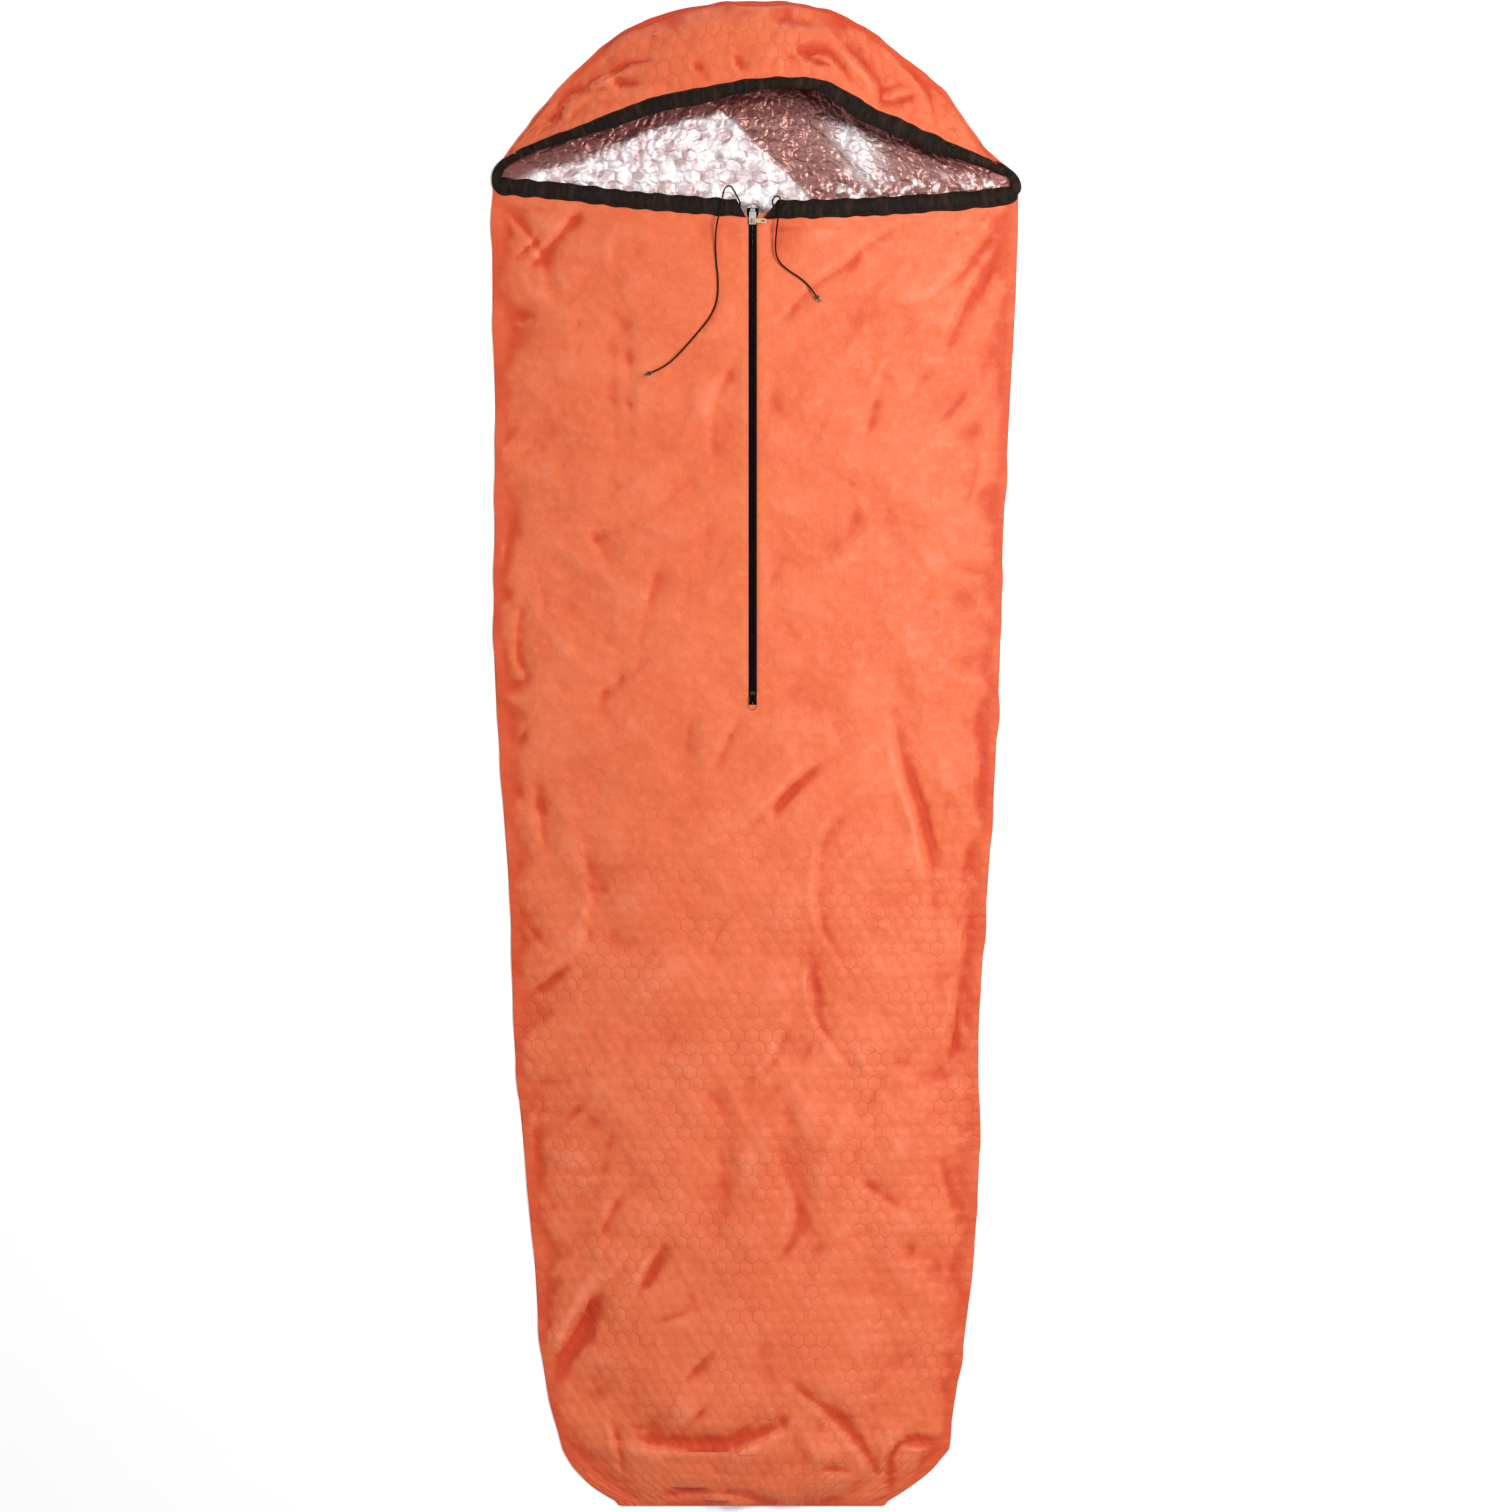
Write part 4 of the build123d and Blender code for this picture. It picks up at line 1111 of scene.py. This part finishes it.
def sleeve(middle, width, seed, start=0.0, end=0.0, closed=(False, False)):
    """Puckered flat tunnel of cloth along a line. start and end slant its ends: how much further
    along the line the inner side reaches. A closed end narrows to nothing."""
    count, around = len(middle), 28
    step = np.linalg.norm(middle[1] - middle[0])
    side = sideways(middle)
    ahead = np.stack([side[:, 1], -side[:, 0]], -1)
    angle = np.arange(around) * math.tau / around
    cell = (step, 0.0022)
    ripple = 0.6 * noise((count, around), cell, 0.020, seed, 0.5)
    ripple += 0.4 * noise((count, around), cell, 0.009, seed + 1, 0.6)
    edge_wave = noise((count, 1), (step, 1), 0.045, seed + 2)
    across = np.sign(np.cos(angle)) * np.abs(np.cos(angle)) ** 0.7
    high = np.sign(np.sin(angle)) * np.abs(np.sin(angle)) ** 0.8
    top = np.clip(high, 0, 1)[None]
    run = np.arange(count) * step
    narrow = np.ones(count)
    for shut, gap in zip(closed, (run, run[::-1])):
        if shut:
            near = rising(gap, 0.012)
            narrow *= np.clip(np.sqrt(near * (2 - near)), 0.05, 1)
    share = across[None] * narrow[:, None] * (1 + 0.05 * edge_wave)
    off = share * np.broadcast_to(width, count)[:, None] / 2
    shift = share * (start * away_from(run, 0.03) + end * away_from(run[::-1], 0.03))[:, None]
    place = middle[:, None] + side[:, None] * off[..., None] + ahead[:, None] * shift[..., None]
    tall = np.where(high > 0, CASING_UP, CASING_DOWN)[None] * high[None] * (0.55 + 0.45 * narrow[:, None])
    over = skin(place[..., 0], place[..., 1]) + tall + 0.0012 * ripple * top
    least = 0.0012 + (0.0035 + 0.0004 * ripple.clip(0, 2)) * top
    points = np.concatenate([place, np.maximum(over, least)[..., None]], -1)
    flat = np.stack(np.broadcast_arrays(run[:, None], (angle * CASING_WIDTH / math.pi)[None]), -1)
    return points, flat


def casing(name, middle, width, seed, bodies, node_name, **ends):
    """A sleeve as a piece, with its closed ends filled."""
    points, flat = sleeve(middle, width, seed, **ends)
    rows, cols = points.shape[:2]
    faces = grid_faces(rows, cols, None, closed=True)
    for k, shut in enumerate(ends["closed"]):
        if shut:
            ring = [k * (rows - 1) * cols + j for j in range(cols)]
            faces.append(ring if k else ring[::-1])
    piece = mesh_object(name, points, faces, flat, {"painted_shading": bend_of(points)}, casing_cloth)
    joined(piece, [node_name], bodies)


def on_lip(start, end):
    x = np.linspace(start, end, 190)
    return np.stack([x, lip_y(x)], -1)


left_middle, right_middle = on_lip(-0.3700, -0.0200), on_lip(0.0215, 0.3715)
casing(
    "casing_sleeve_left", left_middle, 0.0245, 51, ["sack"], "lip_casing_left",
    end=-0.0072, closed=(True, False),
)
casing(
    "casing_sleeve_right", right_middle, 0.0260, 55, ["sack"], "lip_casing_right",
    start=0.0095, closed=(False, True),
)
CORNER_LEFT = [(-0.3655, 0.7970), (-0.3675, 0.8090), (-0.3655, 0.8235), (-0.3580, 0.8350)]
CORNER_RIGHT = [(0.3525, 0.8265), (0.3650, 0.8165), (0.3690, 0.8035), (0.3675, 0.7910)]
# x and width of the hood's casing, which is wider where it lies open
HOOD_WIDE = [
    (-0.370, 0.0130), (-0.335, 0.0125), (-0.300, 0.0135), (-0.248, 0.0170), (-0.191, 0.0225),
    (-0.080, 0.0240), (-0.020, 0.0190), (0.035, 0.0165), (0.090, 0.0170), (0.120, 0.0235),
    (0.150, 0.0255), (0.260, 0.0250), (0.295, 0.0165), (0.345, 0.0140), (0.370, 0.0145),
]
brim_line = line_through([*CORNER_LEFT, *HOOD_EDGE[1:-1], *CORNER_RIGHT], 420)
hood_width = np.interp(brim_line[:, 0], *np.array(HOOD_WIDE).T)
casing(
    "casing_sleeve_hood", brim_line, hood_width, 59, ["sack", "hood"], "hood_casing",
    closed=(True, True),
)


# ---------------------------------------------------------------- zip
TAPE_TOP, TAPE_LOW, TAPE_END, ZIP_TOP = 0.0605, 0.0598, 0.068, 0.768
# the tapes show this far from the middle, and less beside the lip's ends
TAPE_SHOWS, TAPE_NARROW, NARROW_FROM = 0.0146, 0.0084, 0.748
tape_y = np.linspace(TAPE_END, ZIP_TOP, 300)[:, None]
for side, sign in (("left", -1), ("right", 1)):
    outer_edge = np.where(tape_y < NARROW_FROM, TAPE_SHOWS, TAPE_NARROW)
    share = np.linspace(0, 1, 9)
    top_x = ZIP_X + sign * (0.0006 * (1 - share) + outer_edge * share)
    wave = 0.00008 * noise(top_x.shape, (0.0023, 0.0016), 0.012, 61)
    top = np.stack([top_x, np.broadcast_to(tape_y, top_x.shape), TAPE_TOP + wave], -1)
    low = top[:, ::-1].copy()
    low[..., 2] = TAPE_LOW + wave[:, ::-1]
    ring = np.concatenate([top, low], 1)
    around = ring.shape[1]
    faces = grid_faces(len(ring), around, None, closed=True, flip=sign < 0)
    for k in (0, 1):
        cap = [k * (len(ring) - 1) * around + j for j in range(around)]
        faces.append(cap[::-1] if (k == 0) == (sign > 0) else cap)
    values = {"painted_shading": 0 * ring[..., 0]}
    tape = mesh_object(f"zip_ribbon_{side}", ring, faces, ring[..., :2], values, tape_cloth)
    joined(tape, [f"zip_tape_{side}"], ["sack"])

PITCH, WIRE, COIL_START, COIL_END = 0.0017, 0.00035, 0.0885, 0.7620
COIL_WIDE, COIL_HIGH = 0.0013, 0.00072
t = np.arange(int((COIL_END - COIL_START) / PITCH) * 9 + 1) / 9
for side, sign in (("left", -1), ("right", 1)):
    phase = t * math.tau + (0 if sign < 0 else math.pi)
    coil_x = ZIP_X + sign * (COIL_WIDE + COIL_WIDE * np.cos(phase))
    coil_z = TAPE_TOP + 0.0010 + COIL_HIGH * np.sin(phase)
    path = np.stack([coil_x, COIL_START + t * PITCH, coil_z], -1)
    coil = mesh_object(f"zip_spiral_{side}", *tube(path, WIRE, 5), None, None, nylon)
    joined(coil, [f"zip_coil_{side}"], ["sack"])

# the bar tack is a zigzag of thread along an arch round the zip's lower end
ARCH = [
    (-0.0060, 0.0800), (-0.0058, 0.068), (-0.0030, 0.0632), (0.0, 0.0622),
    (0.0030, 0.0632), (0.0058, 0.068), (0.0060, 0.0800),
]
arch_line = line_through(ARCH, 120)
zigzag = []
for k, middle in enumerate(arch_line[::2]):
    way = arch_line[min(2 * k + 2, 119)] - arch_line[max(2 * k - 2, 0)]
    way = np.array([-way[1], way[0]]) / np.linalg.norm(way)
    px, py = middle + way * 0.0011 * (1 if k % 2 else -1)
    zigzag.append((ZIP_X + px, py, CREST + 0.0007))
bar = mesh_object("bartack_stitching", *tube(zigzag, 0.00035, 5), None, None, thread)
joined(bar, ["zip_end_bartack"], ["sack"])


# ---------------------------------------------------------------- stitching
def hem_stitches(line):
    """Row of stitches just above the casing along a line in plan."""
    path = np.stack([line[:, 0], line[:, 1], skin(line[:, 0], line[:, 1]) + 0.0023], -1)
    return stitches(path, 0.0036, 0.0026, 0.00024)


line_y = np.linspace(0.086, NARROW_FROM, 900)
zip_rows = []
for sign in (-1, 1):
    line_x, height = (np.full_like(line_y, value) for value in (ZIP_X + sign * 0.0082, CREST))
    zip_rows.append(stitches(np.stack([line_x, line_y, height], -1), 0.0034, 0.0025, 0.00022))
seams = mesh_object("zip_stitching", *merged(zip_rows), None, None, thread)
joined(seams, [], ["sack"])

hem_rows = [
    hem_stitches(line - 0.0100 * sideways(line)) for line in (left_middle[4:-4], right_middle[4:-4])
]
hem = mesh_object("lip_casing_stitching", *merged(hem_rows), None, None, black_thread)
joined(hem, [], ["sack"])
hood_line = brim_line + 0.40 * hood_width[:, None] * sideways(brim_line)
hood_hem = mesh_object("hood_casing_stitching", *hem_stitches(hood_line[8:-8]), None, None, black_thread)
joined(hood_hem, [], ["sack", "hood"])


# ---------------------------------------------------------------- drawcord
CORD = 0.0024


def cord_curve(name, route):
    """Smooth cord through a route's corners, in millimetres."""
    data = bpy.data.curves.new(name, "CURVE")
    data.dimensions = "3D"
    spline = data.splines.new("NURBS")
    spline.points.add(len(route) - 1)
    for point, place in zip(spline.points, route):
        point.co = (*(c / 1000 for c in place), 1)
    spline.order_u = 3
    spline.use_endpoint_u = True
    spline.resolution_u = 10
    data.bevel_depth = CORD / 2
    data.bevel_resolution = 4
    data.use_fill_caps = True
    data.materials.append(cord_braid)
    piece = bpy.data.objects.new(name, data)
    scene.collection.objects.link(piece)
    return piece


def knot(name, route, seed):
    """Overhand knot just past a route's end, with its cut end frayed into a fork."""
    a, b = (np.array(p) / 1000 for p in route[-2:])
    ahead = (b - a) / np.linalg.norm(b - a)
    across = np.cross(ahead, (0, 0, 1.0))
    across /= np.linalg.norm(across)
    up = np.cross(across, ahead)
    t = np.linspace(0.35, math.tau - 0.35, 60)
    size = 0.00082
    local = np.stack(
        [np.sin(t) + 2 * np.sin(2 * t), np.cos(t) - 2 * np.cos(2 * t), -1.1 * np.sin(3 * t)], -1
    )
    centre = b + ahead * 0.0030
    loop = centre + size * (local[:, :1] * across + local[:, 1:2] * ahead + local[:, 2:] * up)
    stub = [centre, centre + ahead * 0.003, centre + ahead * 0.0052]
    parts = [
        tube(loop, 0.00105, 8),
        tube([b - ahead * 0.001, b + ahead * 0.002, centre], CORD / 2, 8),
        tube(stub, np.array([1.0, 1.0, 0.75]) * CORD / 2, 8),
    ]
    rng = np.random.default_rng(seed)
    for k in range(9):
        lean = (0.55 if k % 2 else -0.55) + rng.uniform(-0.25, 0.25)
        rise = rng.uniform(-0.1, 0.35)
        length = rng.uniform(0.0030, 0.0048)
        way = ahead + across * lean + up * rise
        start = stub[-1] + across * lean * 0.0006
        bow = across * lean * 0.0008
        strand = [start, start + way * length * 0.5 - bow, start + way * length]
        parts.append(tube(line_through(strand, 6), 0.00026 * np.linspace(1, 0.5, 6), 5))
    return mesh_object(name, *merged(parts), None, None, fray)


knots = [knot("tail_knot_left", LEFT_TAIL, 71), knot("tail_knot_right", RIGHT_TAIL, 72)]
tails = [cord_curve("tail_cord_left", LEFT_TAIL), cord_curve("tail_cord_right", RIGHT_TAIL)]
for side, end_knot, tail, out_at, length in (
    ("left", knots[0], tails[0], (-0.027, 0.767, 0.0614), 0.347),
    ("right", knots[1], tails[1], (0.033, 0.7677, 0.0612), 0.192),
):
    joined(end_knot, [f"cord_knot_{side}"], ["sack"])
    joined(tail, [f"drawcord_tail_{side}"], ["sack"])
run_path = np.concatenate([brim_line, skin(*brim_line.T)[:, None] - 0.0005], 1)[6:-6]
run_path[:, 2] = np.maximum(run_path[:, 2], 0.0026)
hood_run = mesh_object("drawcord_in_hood", *tube(run_path, CORD / 2, 8), None, None, cord_braid)
joined(hood_run, ["drawcord_run_hood"], ["sack", "hood"])

# The frame's own nodes that show as they are get their looks.
for look, names in (
    (chrome, ("zip_slider_body", "zip_slider_crown", "zip_top_stop_left", "zip_top_stop_right")),
    (brushed, ("zip_pull_tab",)),
    (blackened, ("zip_bottom_stop",)),
    (cord_braid, ("drawcord_run_left", "drawcord_run_right")),
    (tape_film, ("side_seam_tape_left", "side_seam_tape_right", "foot_seam_tape", "crown_seam_tape")),
):
    for name in names:
        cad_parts[name].data.materials.clear()
        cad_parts[name].data.materials.append(look)


# ---------------------------------------------------------------- floor
FLOOR = 14.0
floor_mesh = bpy.data.meshes.new("floor")
corners = [(x * FLOOR / 2, y * FLOOR / 2, 0) for x, y in ((-1, -1), (1, -1), (1, 1), (-1, 1))]
floor_mesh.from_pydata(corners, [], [(0, 1, 2, 3)])
floor_mesh.materials.append(speckled("floor_paint", (0.97, 0.97, 0.97), (0.98, 0.98, 0.98), 3, 0.75))
floor = bpy.data.objects.new("floor", floor_mesh)
scene.collection.objects.link(floor)
